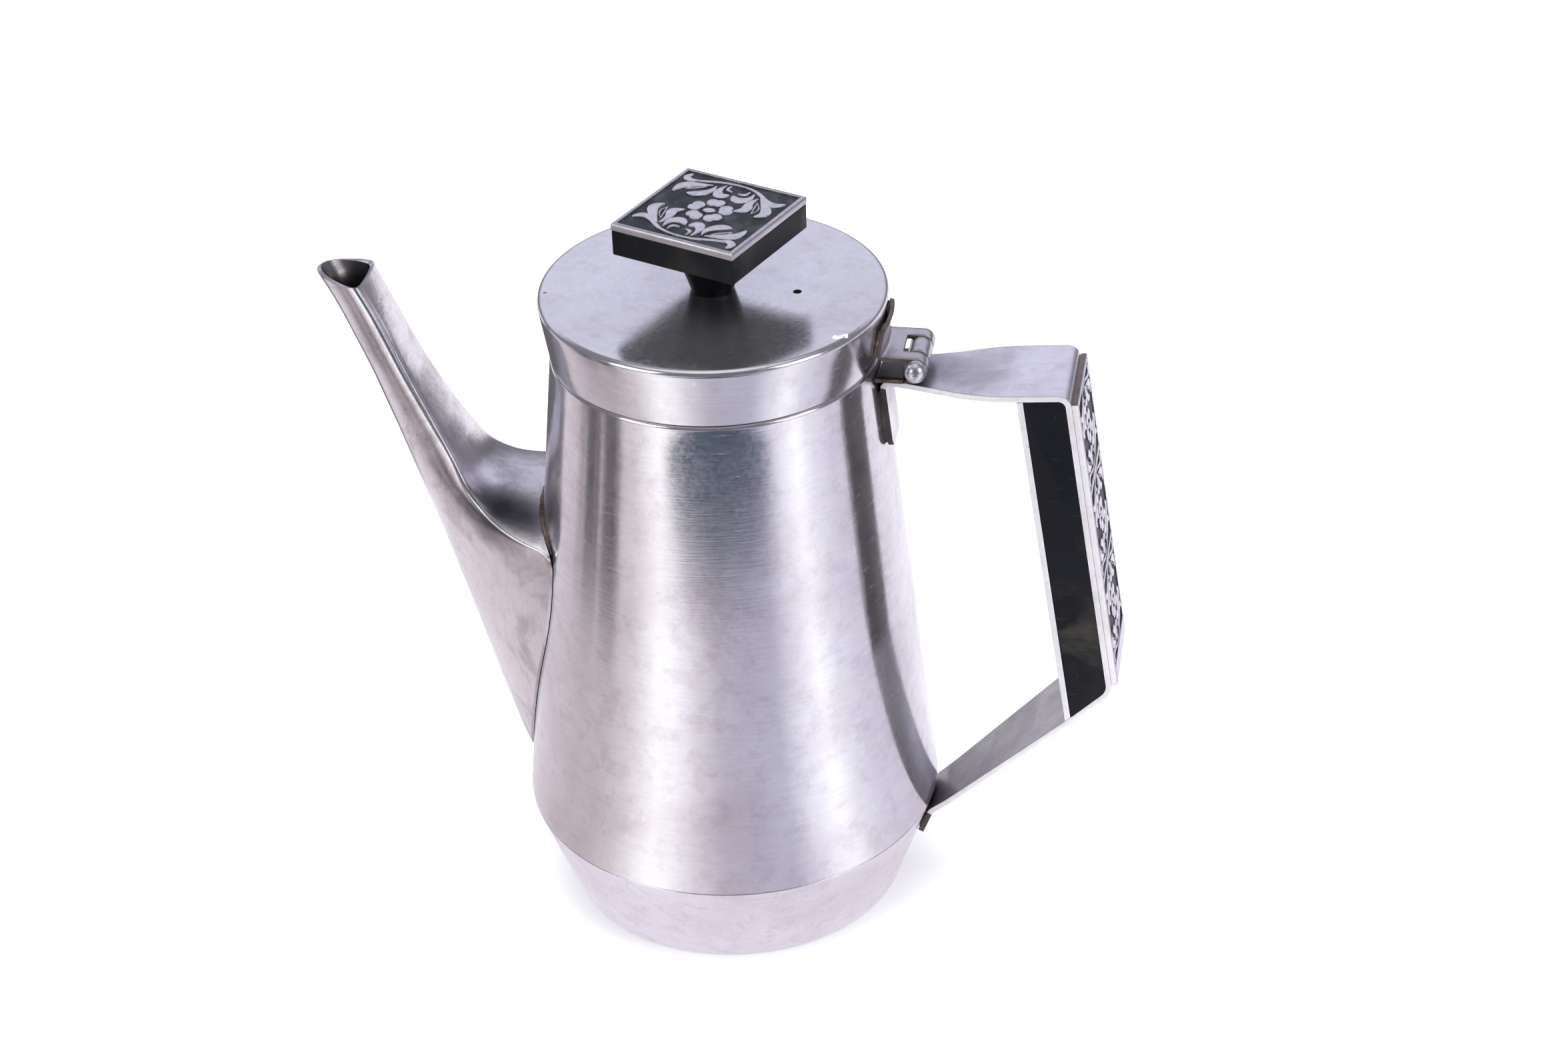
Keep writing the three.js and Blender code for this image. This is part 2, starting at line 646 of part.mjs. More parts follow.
/** Pan-head screw up through the lid into the knob's stem. */
function knobScrew() {
  const headLow = KNOB_SCREW_HEAD_TOP_Z - 2.2;
  const solid = turned([
    [0, headLow],
    [3.0, headLow],
    [3.8, headLow + 0.8],
    [3.8, KNOB_SCREW_HEAD_TOP_Z],
    [2.0, KNOB_SCREW_HEAD_TOP_Z],
    [2.0, STEM_BORE_TOP_Z - 2.0],
    [0, STEM_BORE_TOP_Z - 1.5],
  ], 24);
  return solid.subtract(block([-5, -0.45, headLow - 1], [5, 0.45, headLow + 0.9]));
}

// ---------------------------------------------------------------- hinge

/** A cylinder along Y on the hinge's axis. */
function hingeRod(radius, fromY, toY) {
  const from = new THREE.Vector3(PIN_X, fromY, PIN_Z);
  return rod(from, new THREE.Vector3(PIN_X, toY, PIN_Z), radius, radius, 28);
}

/** Leaf on the lid: a curved flange on the skirt, a tongue, and two knuckles round the pin. */
function hingeUpperLeaf() {
  const tongueTop = PIN_Z + KNUCKLE_R;
  const tongueLow = tongueTop - LEAF;
  const flange = turned([
    [skirtR(tongueLow) + GAP, tongueLow],
    [skirtR(tongueLow) + GAP + LEAF, tongueLow],
    [skirtR(FLANGE_TOP_Z) + GAP + LEAF, FLANGE_TOP_Z],
    [skirtR(FLANGE_TOP_Z) + GAP, FLANGE_TOP_Z],
  ]).intersect(block([0, -LEAF_HALF, SEAM_Z], [60, LEAF_HALF, FLANGE_TOP_Z + 1]));
  const skirtZs = [tongueLow - 1, tongueTop + 1];
  const skirtCore = turned([
    [0, skirtZs[0]],
    [skirtR(skirtZs[0]) + GAP, skirtZs[0]],
    [skirtR(skirtZs[1]) + GAP, skirtZs[1]],
    [0, skirtZs[1]],
  ]);
  const tongue = block([38, -LEAF_HALF, tongueLow], [PIN_X, LEAF_HALF, tongueTop]).subtract(skirtCore);
  const knuckles = hingeRod(KNUCKLE_R, -LEAF_HALF, LEAF_HALF);
  const window = block([SLOT_X, -FINGER_IN, PIN_Z - 5], [PIN_X + 5, FINGER_IN, PIN_Z + 5]);
  const bore = hingeRod(KNUCKLE_BORE_R, -LEAF_HALF - 1, LEAF_HALF + 1);
  return flange.add(tongue).add(knuckles).subtract(window).subtract(bore);
}

/** Leaf on the handle: a plate on the strap, hollowed to the neck, and one middle knuckle. */
function hingeLowerLeaf() {
  const plateTop = PLATE_Z + LEAF;
  const plate = block([36, -LEAF_HALF, PLATE_Z], [SLOT_X + 0.4, LEAF_HALF, plateTop]);
  const neckR = wallR(PLATE_Z) + GAP;
  const neckLow = new THREE.Vector3(0, 0, PLATE_Z - 2);
  const neckHigh = new THREE.Vector3(0, 0, PLATE_Z + 4);
  const neck = rod(neckLow, neckHigh, neckR, neckR, TURN_STEPS);
  const web = pushed([
    [SLOT_X - 0.6, PLATE_Z],
    [PIN_X - 0.8, PLATE_Z + 0.6],
    [PIN_X, PIN_Z - KNUCKLE_R + 0.3],
    [PIN_X - 2.1, PIN_Z - 0.9],
    [SLOT_X - 0.6, plateTop],
  ], -KNUCKLE_HALF, KNUCKLE_HALF);
  const knuckle = hingeRod(KNUCKLE_R, -KNUCKLE_HALF, KNUCKLE_HALF);
  const bore = hingeRod(KNUCKLE_BORE_R, -KNUCKLE_HALF - 1, KNUCKLE_HALF + 1);
  return plate.subtract(neck).add(web).add(knuckle).subtract(bore);
}

/** Hinge pin with a round head formed on each end. */
function hingePin() {
  const backY = LEAF_HALF + GAP;
  const centreY = backY + 0.6;
  const cutAngle = THREE.MathUtils.radToDeg(Math.asin((centreY - backY) / PIN_HEAD_R));
  const profile = [
    ...arc(0, -centreY, PIN_HEAD_R, -90, cutAngle, 6),
    [PIN_R, -backY],
    [PIN_R, backY],
    ...arc(0, centreY, PIN_HEAD_R, -cutAngle, 90, 6),
  ];
  profile[0][0] = 0;
  profile[profile.length - 1][0] = 0;
  const points = profile.map(([radius, y]) => new THREE.Vector2(radius, y));
  return solidOf(new THREE.LatheGeometry(points, 24).translate(PIN_X, 0, PIN_Z));
}

// ---------------------------------------------------------------- assembly

const STEEL = { color: 0xb9b2b8, roughness: 0.34, metalness: 1.0 };
const RAW_STEEL = { color: 0xa39ea3, roughness: 0.45, metalness: 1.0 };
const BLACK = { color: 0x15171a, roughness: 0.5, metalness: 0.0 };
const PEWTER = { color: 0x8f9096, roughness: 0.4, metalness: 0.9 };

/** Wraps a solid as a named mesh with its own material. */
function part(name, solid, finish) {
  const mesh = new THREE.Mesh(geometryOf(solid), new THREE.MeshStandardMaterial(finish));
  mesh.name = name;
  return mesh;
}

const pot = new THREE.Group();
pot.add(
  part('body_shell', bodyShell(), STEEL),
  part('base_cup', baseCup(), STEEL),
  part('spout_shell', spoutShell(), STEEL),
  part('handle_strap', handleStrap(), STEEL),
  part('grip_block', gripBlock(), BLACK),
  part('grip_inner_strip', gripStrip(), STEEL),
  part('grip_screw_upper', gripScrew(SCREW_STATIONS[0]), RAW_STEEL),
  part('grip_screw_lower', gripScrew(SCREW_STATIONS[1]), RAW_STEEL),
  part('handle_plaque', handlePlate(), PEWTER),
  part('hinge_lower_leaf', hingeLowerLeaf(), RAW_STEEL),
  part('hinge_pin', hingePin(), RAW_STEEL),
);

const knob = new THREE.Group();
knob.rotation.z = KNOB_TURN;
knob.add(
  part('knob_body', knobBody(), BLACK),
  part('knob_plaque', knobPlate(), PEWTER),
  part('knob_screw', knobScrew(), RAW_STEEL),
  part('knob_washer', knobWasher(), RAW_STEEL),
);

const lid = new THREE.Group();
lid.add(
  part('lid_shell', lidShell(), STEEL),
  part('lid_collar', lidCollar(), STEEL),
  part('hinge_upper_leaf', hingeUpperLeaf(), RAW_STEEL),
  knob,
);

const coffeePot = new THREE.Group();
coffeePot.add(pot, lid);

export default coffeePot;
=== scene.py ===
"""Looks of a hinged-lid steel coffee pot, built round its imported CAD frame.

Lengths are millimetres up to the point where a mesh is made, which turns them into metres.
The origin is the centre of the flat bottom; the spout points along -X and the handle along +X.
"""

import math

import bmesh
import bpy
import numpy as np
from mathutils import Matrix, Vector


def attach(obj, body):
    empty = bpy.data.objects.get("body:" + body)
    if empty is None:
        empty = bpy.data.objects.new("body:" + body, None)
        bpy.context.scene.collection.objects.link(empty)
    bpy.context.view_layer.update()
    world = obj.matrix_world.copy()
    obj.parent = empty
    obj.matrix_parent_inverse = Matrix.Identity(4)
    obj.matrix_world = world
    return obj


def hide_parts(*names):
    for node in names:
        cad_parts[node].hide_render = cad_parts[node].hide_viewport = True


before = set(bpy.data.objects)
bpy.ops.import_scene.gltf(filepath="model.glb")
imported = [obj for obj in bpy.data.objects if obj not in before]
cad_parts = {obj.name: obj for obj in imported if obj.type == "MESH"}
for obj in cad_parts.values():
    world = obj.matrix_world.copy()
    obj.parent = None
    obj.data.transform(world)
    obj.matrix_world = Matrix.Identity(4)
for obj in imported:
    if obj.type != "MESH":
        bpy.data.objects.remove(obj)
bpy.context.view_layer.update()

MM = 0.001
SEED = 11

# ---------------------------------------------------------------- driving dimensions

GAP = 0.3
SHEET = 1.0
TURN_STEPS = 256

BASE_R = 44.6
FOOT_RING_R = 35.0
RIDGE_R = 54.28
RIDGE_Z = 28.0
SEAM_Z = 158.0
SEAM_R = 40.7

HOLE_R = 2.5
HOLE_PITCH = 8.0
HOLE_ROWS = 6
FIRST_HOLE_Z = 60.0

LID_R = 43.0
LID_RIM_Z = 173.9
LID_DISH = 0.5
LID_ROLL = 3.9
LID_EDGE = 1.5
VENT_X = 20.9
VENT_R = 1.1
COLLAR_R = 37.9
COLLAR_SHEET = 0.8
COLLAR_LOW_Z = 151.5
COLLAR_TOP_Z = 166.0

KNOB_SIDE = 34.1
KNOB_TURN = math.radians(-21.6)
KNOB_TOP_Z = 194.6
KNOB_PLATE = 1.9
KNOB_BLOCK_Z = 186.1
PLATE_RIM = 0.95
PLATE_SUNK = 0.5
WASHER_R = 6.5
WASHER_HOLE_R = 2.3
WASHER_THICK = 1.2
KNOB_SCREW_R = 2.0
KNOB_SCREW_HEAD_R = 3.8
KNOB_SCREW_HEAD = 2.35
KNOB_SCREW_TIP_Z = 182.3

PIN_X = 50.7
PIN_Z = 158.1
PIN_R = 1.45
KNUCKLE_R = 2.9
LEAF = 1.15
LEAF_HALF = 8.0
FINGER_IN = 4.05
KNUCKLE_HALF = 3.75
SLOT_X = 47.2
FLANGE_TOP_Z = 168.8
LEAF_Z = 153.95
PIN_HEAD_R = 2.85
PIN_FAR_HEAD_R = 2.2

STRAP = 1.5
GRIP_HALF = 12.9
BLOCK_DEPTH = 9.75
STRIP = 1.3
BEZEL = 1.35
BEZEL_TOP_Z = 153.4
BEZEL_BOTTOM_Z = 72.6
TILE_BAR_ZS = (128.0, 102.4, 76.6)
HALF_BAR = 0.45
SCREW_STATIONS = (22.0, 62.0)
SCREW_HOLE_R = 3.15
GRIP_TOP = Vector((87.9, 155.25))
GRIP_BOTTOM = Vector((100.15, 70.3))
ARM_KINK = Vector((74.5, 154.15))
ARM_FOOT = Vector((54.3, 24.2))
TAB_BOTTOM_Z = 134.6
TAB_TOP_Z = 152.75
FOOT_TIP_Z = 16.3


def wall_radii(zs):
    """Outer radii of the pot's wall at an array of heights."""
    return np.interp(zs, (0, RIDGE_Z, SEAM_Z), (BASE_R, RIDGE_R, SEAM_R))


def wall_r(z):
    """Outer radius of the pot's wall at one height."""
    return float(wall_radii(z))


def skirt_r(z):
    """Outer radius of the lid's flared skirt at a height."""
    return float(np.interp(z, (SEAM_Z, LID_RIM_Z - LID_ROLL), (SEAM_R, LID_R)))


def lid_top_z(radius):
    """Height of the lid's dished top at a radius."""
    flat_r = LID_R - LID_ROLL
    return LID_RIM_Z - LID_DISH * (1 - min(1.0, radius / flat_r) ** 2)


# ---------------------------------------------------------------- camera and light

VIEW_YAW = math.radians(10.545)
VIEW_PITCH = math.radians(32.386)
VIEW_ROLL = math.radians(-1.975)
VIEW_DISTANCE = 800.9
VIEW_AIM_SIDE = 15.39
VIEW_AIM_Z = 104.98
LENS = 72.08


def new_object(name, data):
    """An object in the scene that holds a mesh, a lamp or a camera."""
    thing = bpy.data.objects.new(name, data)
    bpy.context.scene.collection.objects.link(thing)
    return thing


def make_camera():
    """Camera at the viewing angle of the pot's portrait."""
    right = Vector((math.cos(VIEW_YAW), math.sin(VIEW_YAW), 0))
    back = Vector((
        math.sin(VIEW_YAW) * math.cos(VIEW_PITCH),
        -math.cos(VIEW_YAW) * math.cos(VIEW_PITCH),
        math.sin(VIEW_PITCH),
    ))
    up = back.cross(right)
    rolled_right = math.cos(VIEW_ROLL) * right + math.sin(VIEW_ROLL) * up
    rolled_up = math.cos(VIEW_ROLL) * up - math.sin(VIEW_ROLL) * right
    aim = VIEW_AIM_SIDE * right + Vector((0, 0, VIEW_AIM_Z))
    camera = new_object("camera", bpy.data.cameras.new("camera"))
    camera.data.lens = LENS
    camera.data.clip_start = 0.01
    turn = Matrix((rolled_right, rolled_up, back)).transposed().to_4x4()
    camera.matrix_world = Matrix.Translation((aim + back * VIEW_DISTANCE) * MM) @ turn
    bpy.context.scene.camera = camera


def area_light(name, place, aim, size, power, in_reflections):
    """Soft rectangular lamp, in metres, that faces a point."""
    lamp = bpy.data.lights.new(name, "AREA")
    lamp.shape = "RECTANGLE"
    lamp.size, lamp.size_y = size
    lamp.energy = power
    holder = new_object(name, lamp)
    holder.location = place
    holder.rotation_euler = (Vector(aim) - Vector(place)).to_track_quat("-Z", "Y").to_euler()
    holder.visible_glossy = in_reflections


# ---------------------------------------------------------------- shader helpers


class Graph:
    """A material's node tree, with short ways to add nodes and join them."""

    def __init__(self, tree):
        self.tree = tree
        tree.nodes.clear()

    def add(self, kind, inputs=None, **settings):
        node = self.tree.nodes.new(kind)
        for key, value in settings.items():
            setattr(node, key, value)
        for key, value in (inputs or {}).items():
            self.set(node.inputs[key], value)
        return node

    def set(self, socket, value):
        if isinstance(value, bpy.types.NodeSocket):
            self.tree.links.new(value, socket)
        else:
            socket.default_value = value

    def math(self, operation, a, b=0.0, clamp=False):
        return self.add("ShaderNodeMath", {0: a, 1: b}, operation=operation, use_clamp=clamp).outputs[0]

    def times(self, a, b, clamp=False):
        return self.math("MULTIPLY", a, b, clamp)

    def plus(self, a, b, clamp=False):
        return self.math("ADD", a, b, clamp)

    def vector(self, operation, a, b=(0, 0, 0)):
        node = self.add("ShaderNodeVectorMath", {0: a, 1: b}, operation=operation)
        return node.outputs[1 if operation in ("LENGTH", "DOT_PRODUCT") else 0]

    def distance(self, a, b):
        return self.vector("LENGTH", self.vector("SUBTRACT", a, b))

    def height(self, place):
        return self.add("ShaderNodeSeparateXYZ", {0: place}).outputs[2]

    def scaled(self, vector, factor):
        return self.add("ShaderNodeVectorMath", {0: vector, "Scale": factor}, operation="SCALE").outputs[0]

    def noise(self, vector, scale=1.0, detail=3.0, rough=0.55, distortion=0.0):
        inputs = {"Vector": vector, "Scale": scale, "Detail": detail, "Roughness": rough}
        inputs["Distortion"] = distortion
        return self.add("ShaderNodeTexNoise", inputs).outputs[0]

    def cells(self, vector, scale):
        inputs = {"Vector": vector, "Scale": scale}
        return self.add("ShaderNodeTexVoronoi", inputs).outputs["Distance"]

    def span(self, value, from_low, from_high, to_low=0.0, to_high=1.0):
        inputs = {0: value, 1: from_low, 2: from_high, 3: to_low, 4: to_high}
        return self.add("ShaderNodeMapRange", inputs, clamp=True).outputs[0]

    def mix(self, factor, a, b):
        node = self.add("ShaderNodeMix", data_type="RGBA")
        self.set(node.inputs["Factor"], factor)
        self.set(node.inputs[6], a if isinstance(a, bpy.types.NodeSocket) else (*a, 1))
        self.set(node.inputs[7], b if isinstance(b, bpy.types.NodeSocket) else (*b, 1))
        return node.outputs[2]

    def attribute(self, name):
        return self.add("ShaderNodeAttribute", attribute_name=name).outputs["Fac"]

    def bump(self, height, strength, distance, under=None):
        inputs = {"Height": height, "Strength": strength, "Distance": distance}
        if under is not None:
            inputs["Normal"] = under
        return self.add("ShaderNodeBump", inputs).outputs[0]

    def places(self):
        return self.add("ShaderNodeTexCoord").outputs["Object"]

    def finish(self, **inputs):
        """Closes the tree with one Principled shader."""
        named = {key.replace("_", " "): value for key, value in inputs.items()}
        shader = self.add("ShaderNodeBsdfPrincipled", named)
        self.add("ShaderNodeOutputMaterial", {"Surface": shader.outputs[0]})


def new_graph(name):
    """A new material, its graph, and the places of the points it covers."""
    material = bpy.data.materials.new(name)
    material.use_nodes = True
    g = Graph(material.node_tree)
    return material, g, g.places()


def round_places(g, around, along):
    """Places wrapped round Z: slow around the pot, quick down it and out across it."""
    place = g.places()
    flat = g.vector("MULTIPLY", place, (1, 1, 0))
    radius = g.vector("LENGTH", flat)
    spoke = g.scaled(g.vector("NORMALIZE", flat), around)
    height = g.height(place)
    travel = g.times(g.plus(height, radius), along)
    rise = g.add("ShaderNodeCombineXYZ", {2: travel}).outputs[0]
    return g.vector("ADD", spoke, rise)


def scratches(g, place, turn, scale, stretch, keep):
    """Fine straight scratches: stretched noise of which only the highest crests are kept."""
    inputs = {"Vector": place, "Rotation": turn, "Scale": stretch}
    crest = g.noise(g.add("ShaderNodeMapping", inputs).outputs[0], scale, 2.0, 0.5)
    return g.span(crest, keep, keep + 0.06)


# ---------------------------------------------------------------- materials


# The rest of a turned surface's light comes from its fine scratches and film.
TURNED_METAL = 0.955
# How far, in metres, a spot's outline wanders.
SPOT_RAGGED = 0.0010
# Colours that several materials share, or that stand for one kind of blemish.
MAUVE = (0.43, 0.355, 0.385)
PATCH_DARK = (0.075, 0.075, 0.085)
PIT = (0.04, 0.035, 0.035)
CHIP = (0.93, 0.93, 0.95)


def near_spots(g, place, spots):
    """Mask of small ragged spots, each (x, y, z, radius) in millimetres."""
    ragged = g.add("ShaderNodeTexNoise", {"Vector": place, "Scale": 900.0}).outputs["Color"]
    moved = g.vector("ADD", place, g.scaled(ragged, 2 * SPOT_RAGGED))
    mask = 0.0
    for x, y, z, radius in spots:
        centre = tuple(v * MM + SPOT_RAGGED for v in (x, y, z))
        away = g.distance(moved, centre)
        mask = g.math("MAXIMUM", mask, g.span(away, radius * MM, 0.75 * radius * MM))
    return mask


def turned_steel(name, light, dark, rough, stain=0.5, brush=1.0, spread=0.6, chips=(), pits=()):
    """Steel brushed round the pot, worn, with mauve stains, scratches and small pale specks.

    chips and pits are pale and dark spots, each (x, y, z, radius)."""
    material, g, place = new_graph(name)
    fine = g.noise(round_places(g, 5.0, 2600.0), 1.0, 2.0, 0.6)
    broad = g.noise(round_places(g, 3.0, 700.0), 1.0, 2.0, 0.6)
    blotch = g.noise(place, 32.0, 5.0, 0.62, 0.4)
    mottle = g.noise(place, 170.0, 4.0, 0.7)
    grain = g.noise(place, 900.0, 2.0, 0.6)
    worn = scratches(g, place, (0.3, 0.2, 0.5), 130.0, (1.0, 1.0, 9.0), 0.66)
    cross = scratches(g, place, (0.9, -0.6, 1.1), 150.0, (1.0, 8.0, 1.0), 0.67)
    speck = g.span(g.cells(place, 95.0), 0.07, 0.04)
    speck_here = g.span(g.noise(place, 21.0, 2.0), 0.56, 0.64)
    speck = g.times(speck, speck_here)
    dirt = g.times(g.span(blotch, 0.42, 0.66), stain, True)
    colour = g.mix(g.span(fine, 0.3, 0.7), light, tuple(0.93 * c for c in light))
    colour = g.mix(g.times(g.span(broad, 0.35, 0.7), 0.10), colour, dark)
    colour = g.mix(dirt, colour, dark)
    colour = g.mix(g.times(g.span(mottle, 0.5, 0.7), 0.6 * stain), colour, MAUVE)
    colour = g.mix(g.times(g.plus(worn, cross), 0.2, True), colour, (0.86, 0.85, 0.88))
    colour = g.mix(g.times(speck, 0.6), colour, (0.92, 0.92, 0.94))
    metallic = TURNED_METAL
    if chips:
        chipped = near_spots(g, place, chips)
        colour = g.mix(chipped, colour, CHIP)
        metallic = g.math("SUBTRACT", TURNED_METAL, chipped, True)
    if pits:
        colour = g.mix(near_spots(g, place, pits), colour, PIT)
    roughness = g.plus(rough, g.span(blotch, 0.35, 0.7, 0.0, 0.1))
    roughness = g.plus(roughness, g.span(grain, 0.3, 0.7, -0.03, 0.04))
    roughness = g.plus(roughness, g.times(worn, 0.12))
    lines = g.bump(fine, 0.11 * brush, 0.0001)
    lines = g.bump(broad, 0.03 * brush, 0.0002, lines)
    lines = g.bump(mottle, 0.05, 0.0004, lines)
    tangent = g.add("ShaderNodeTangent", direction_type="RADIAL", axis="Z").outputs[0]
    g.finish(
        Base_Color=colour, Metallic=metallic, Roughness=roughness, Normal=lines,
        Anisotropic=spread, Anisotropic_Rotation=0.25, Tangent=tangent,
    )
    return material


def sheet_steel(name, light, dark, rough, stain=0.5, lengthwise=(1.0, 6.0, 1.0), brush=0.6, metal=1.0,
                foot=0.0, dark_patches=()):
    """Flat sheet steel with short brushing one way, dull patches and handling marks.

    foot is how much painted shade darkens the steel towards the table. The last argument lists soft dark
    patches, each (x, y, z, reach, depth); on the spout they are painted shade."""
    material, g, place = new_graph(name)
    along = g.add("ShaderNodeMapping", {"Vector": place, "Scale": lengthwise}).outputs[0]
    fine = g.noise(along, 520.0, 3.0, 0.65)
    blotch = g.noise(place, 60.0, 5.0, 0.65, 0.5)
    mottle = g.noise(place, 330.0, 4.0, 0.75)
    worn = scratches(g, place, (0.2, 0.5, 0.7), 190.0, (7.0, 1.0, 1.0), 0.66)
    pits = g.span(g.cells(place, 260.0), 0.09, 0.03)
    pits = g.times(pits, g.span(g.noise(place, 70.0, 1.0), 0.55, 0.62))
    colour = g.mix(g.span(fine, 0.3, 0.7), light, tuple(0.9 * c for c in light))
    colour = g.mix(g.times(g.span(blotch, 0.4, 0.68), stain), colour, dark)
    colour = g.mix(g.times(g.span(mottle, 0.5, 0.75), 0.35), colour, tuple(0.8 * c for c in dark))
    colour = g.mix(g.times(worn, 0.3), colour, tuple(min(0.92, 1.2 * c) for c in light))
    colour = g.mix(g.times(pits, 0.7), colour, (0.12, 0.10, 0.11))
    # Soft dark patches; on the spout they are painted shade and dark reflections.
    for x, y, z, reach, depth in dark_patches:
        away = g.distance(place, (x * MM, y * MM, z * MM))
        ragged = g.span(blotch, 0.35, 0.65, -0.12, 0.12)
        tint = g.plus(g.span(away, reach * MM, 0.3 * reach * MM), ragged)
        colour = g.mix(g.times(tint, depth, True), colour, PATCH_DARK)
    # Painted shade: the steel darkens towards the table.
    if foot:
        height = g.height(place)
        colour = g.mix(g.span(height, 0.066, 0.026, 0.0, foot), colour, (0.10, 0.09, 0.095))
    roughness = g.plus(rough, g.span(blotch, 0.35, 0.7, -0.04, 0.08))
    relief = g.bump(fine, 0.18 * brush, 0.0001)
    relief = g.bump(mottle, 0.12, 0.0003, relief)
    g.finish(Base_Color=colour, Metallic=metal, Roughness=roughness, Normal=relief)
    return material


# Middle of a pale smudge on the grip's near side.
BLOCK_SMUDGE = (88.5, -GRIP_HALF, 87.0)


def black_plastic():
    """Satin black moulding with faint scuffs and dust."""
    material, g, place = new_graph("black_moulding")
    fine = g.noise(place, 1600.0, 3.0, 0.6)
    cloud = g.noise(place, 75.0, 4.0, 0.6, 0.3)
    smudge = g.noise(place, 28.0, 3.0, 0.6, 0.8)
    dust = g.span(g.cells(place, 420.0), 0.06, 0.03)
    dust = g.times(dust, g.span(g.noise(place, 60.0, 1.0), 0.5, 0.6))
    worn = scratches(g, place, (0.5, 0.3, 0.2), 230.0, (1.0, 1.0, 7.0), 0.67)
    colour = g.mix(g.span(cloud, 0.35, 0.7), (0.0022, 0.0032, 0.0055), (0.004, 0.0052, 0.008))
    colour = g.mix(g.times(g.span(smudge, 0.56, 0.75), 0.5), colour, (0.045, 0.038, 0.028))
    from_smudge = g.distance(place, tuple(v * MM for v in BLOCK_SMUDGE))
    smudged = g.times(g.span(from_smudge, 0.017, 0.003), g.span(cloud, 0.40, 0.62))
    colour = g.mix(g.times(smudged, 0.7), colour, (0.058, 0.050, 0.038))
    colour = g.mix(g.times(worn, 0.12), colour, (0.12, 0.12, 0.13))
    colour = g.mix(g.times(dust, 0.25), colour, (0.3, 0.3, 0.32))
    roughness = g.span(cloud, 0.3, 0.7, 0.36, 0.5)
    relief = g.bump(fine, 0.12, 0.00008)
    relief = g.bump(cloud, 0.1, 0.0004, relief)
    g.finish(Base_Color=colour, Metallic=0.0, Roughness=roughness, Normal=relief, Specular_IOR_Level=0.22)
    return material


def cast_relief():
    """Casting: bright rubbed tops over a blackened, slightly pitted ground."""
    material, g, place = new_graph("cast_relief")
    raised = g.attribute("raised")
    tool = g.noise(place, 700.0, 3.0, 0.6)
    patina = g.noise(place, 210.0, 4.0, 0.7)
    shown = g.plus(raised, g.span(patina, 0.3, 0.7, -0.13, 0.13))
    bright = g.span(shown, 0.48, 0.66)
    ground = g.mix(g.span(patina, 0.45, 0.75), (0.010, 0.013, 0.017), (0.05, 0.055, 0.062))
    top = g.mix(g.span(tool, 0.35, 0.7), (0.80, 0.77, 0.81), (0.62, 0.60, 0.64))
    colour = g.mix(bright, ground, top)
    roughness = g.span(bright, 0.0, 1.0, 0.55, 0.30)
    relief = g.bump(tool, 0.25, 0.00012)
    g.finish(Base_Color=colour, Metallic=g.span(bright, 0, 1, 0.25, 1.0), Roughness=roughness, Normal=relief)
    return material


def braze_metal():
    """Rough, oxidised filler metal at the brazed joints."""
    material, g, place = new_graph("braze_metal")
    lump = g.noise(place, 700.0, 4.0, 0.7)
    burn = g.noise(place, 190.0, 3.0, 0.6)
    colour = g.mix(g.span(burn, 0.35, 0.65), (0.26, 0.19, 0.15), (0.075, 0.06, 0.055))
    colour = g.mix(g.times(g.span(lump, 0.55, 0.7), 0.5), colour, (0.46, 0.36, 0.29))
    relief = g.bump(lump, 0.6, 0.0004)
    g.finish(Base_Color=colour, Metallic=0.85, Roughness=0.52, Normal=relief)
    return material


def inside_steel():
    """The pot's inside: steel with a brown coffee film, heavier towards the bottom."""
    material, g, place = new_graph("inside_steel")
    height = g.height(place)
    uneven = g.span(g.noise(place, 45.0, 5.0, 0.7), 0.3, 0.7, -0.4, 0.4)
    film = g.plus(g.span(height, 0.15, 0.0), uneven)
    lines = g.noise(round_places(g, 4.0, 1500.0), 1.0, 2.0, 0.6)
    colour = g.mix(g.times(film, 0.7, True), (0.74, 0.72, 0.72), (0.34, 0.24, 0.17))
    roughness = g.span(film, 0.0, 1.0, 0.32, 0.5)
    g.finish(Base_Color=colour, Metallic=1.0, Roughness=roughness, Normal=g.bump(lines, 0.15, 0.0002))
    return material


def floor_white():
    """Matte pale paper."""
    material, g, place = new_graph("floor_white")
    fibre = g.noise(place, 300.0, 3.0, 0.6)
    colour = g.mix(fibre, (0.90, 0.90, 0.905), (0.92, 0.92, 0.925))
    g.finish(Base_Color=colour, Roughness=0.9, Specular_IOR_Level=0.1,
             Emission_Color=(1.0, 1.0, 1.0, 1.0), Emission_Strength=0.2)
    return material


# Blemishes that the lid shows: pale chips and residue round the knob's foot, and dark pits.
LID_CHIPS = (
    (34.1, -22.1, 173.4, 1.3), (35.8, -20.9, 173.6, 0.9), (32.6, -23.0, 173.3, 0.6), (3.6, -4.9, 172.2, 0.8),
)
LID_PITS = ((-40.1, -8.1, 173.8, 0.55), (-6.1, -18.8, 172.6, 0.4), (11.0, 30.0, 173.0, 0.4))

# Painted shade in the spout's bend: soft dark patches that stand for the shade and dark reflections there.
SPOUT_SHADE_PATCHES = (
    (-61.5, -9.5, 114.0, 6.5, 0.88),
    (-55.0, -13.0, 112.0, 9.5, 0.88),
    (-48.5, -15.0, 110.5, 9.0, 0.74),
    (-50.0, -1.0, 113.0, 21.0, 0.36),
)
# Soft dark patches on the strap round the hinge.
STRAP_DARK_PATCHES = ((51.0, 0.0, 154.0, 13.0, 0.60), (62.0, -2.0, 154.0, 15.0, 0.32))

# Directions of brushing: how much finer the grain is along X, Y and Z.
DOWN_SPOUT = (1.0, 1.0, 0.2)
DOWN_STRAP = (0.2, 1.0, 0.2)
ON_EDGE = (0.3, 1.0, 0.3)
ON_LEAF = (0.3, 1.0, 1.0)
EVEN = (1.0, 1.0, 1.0)

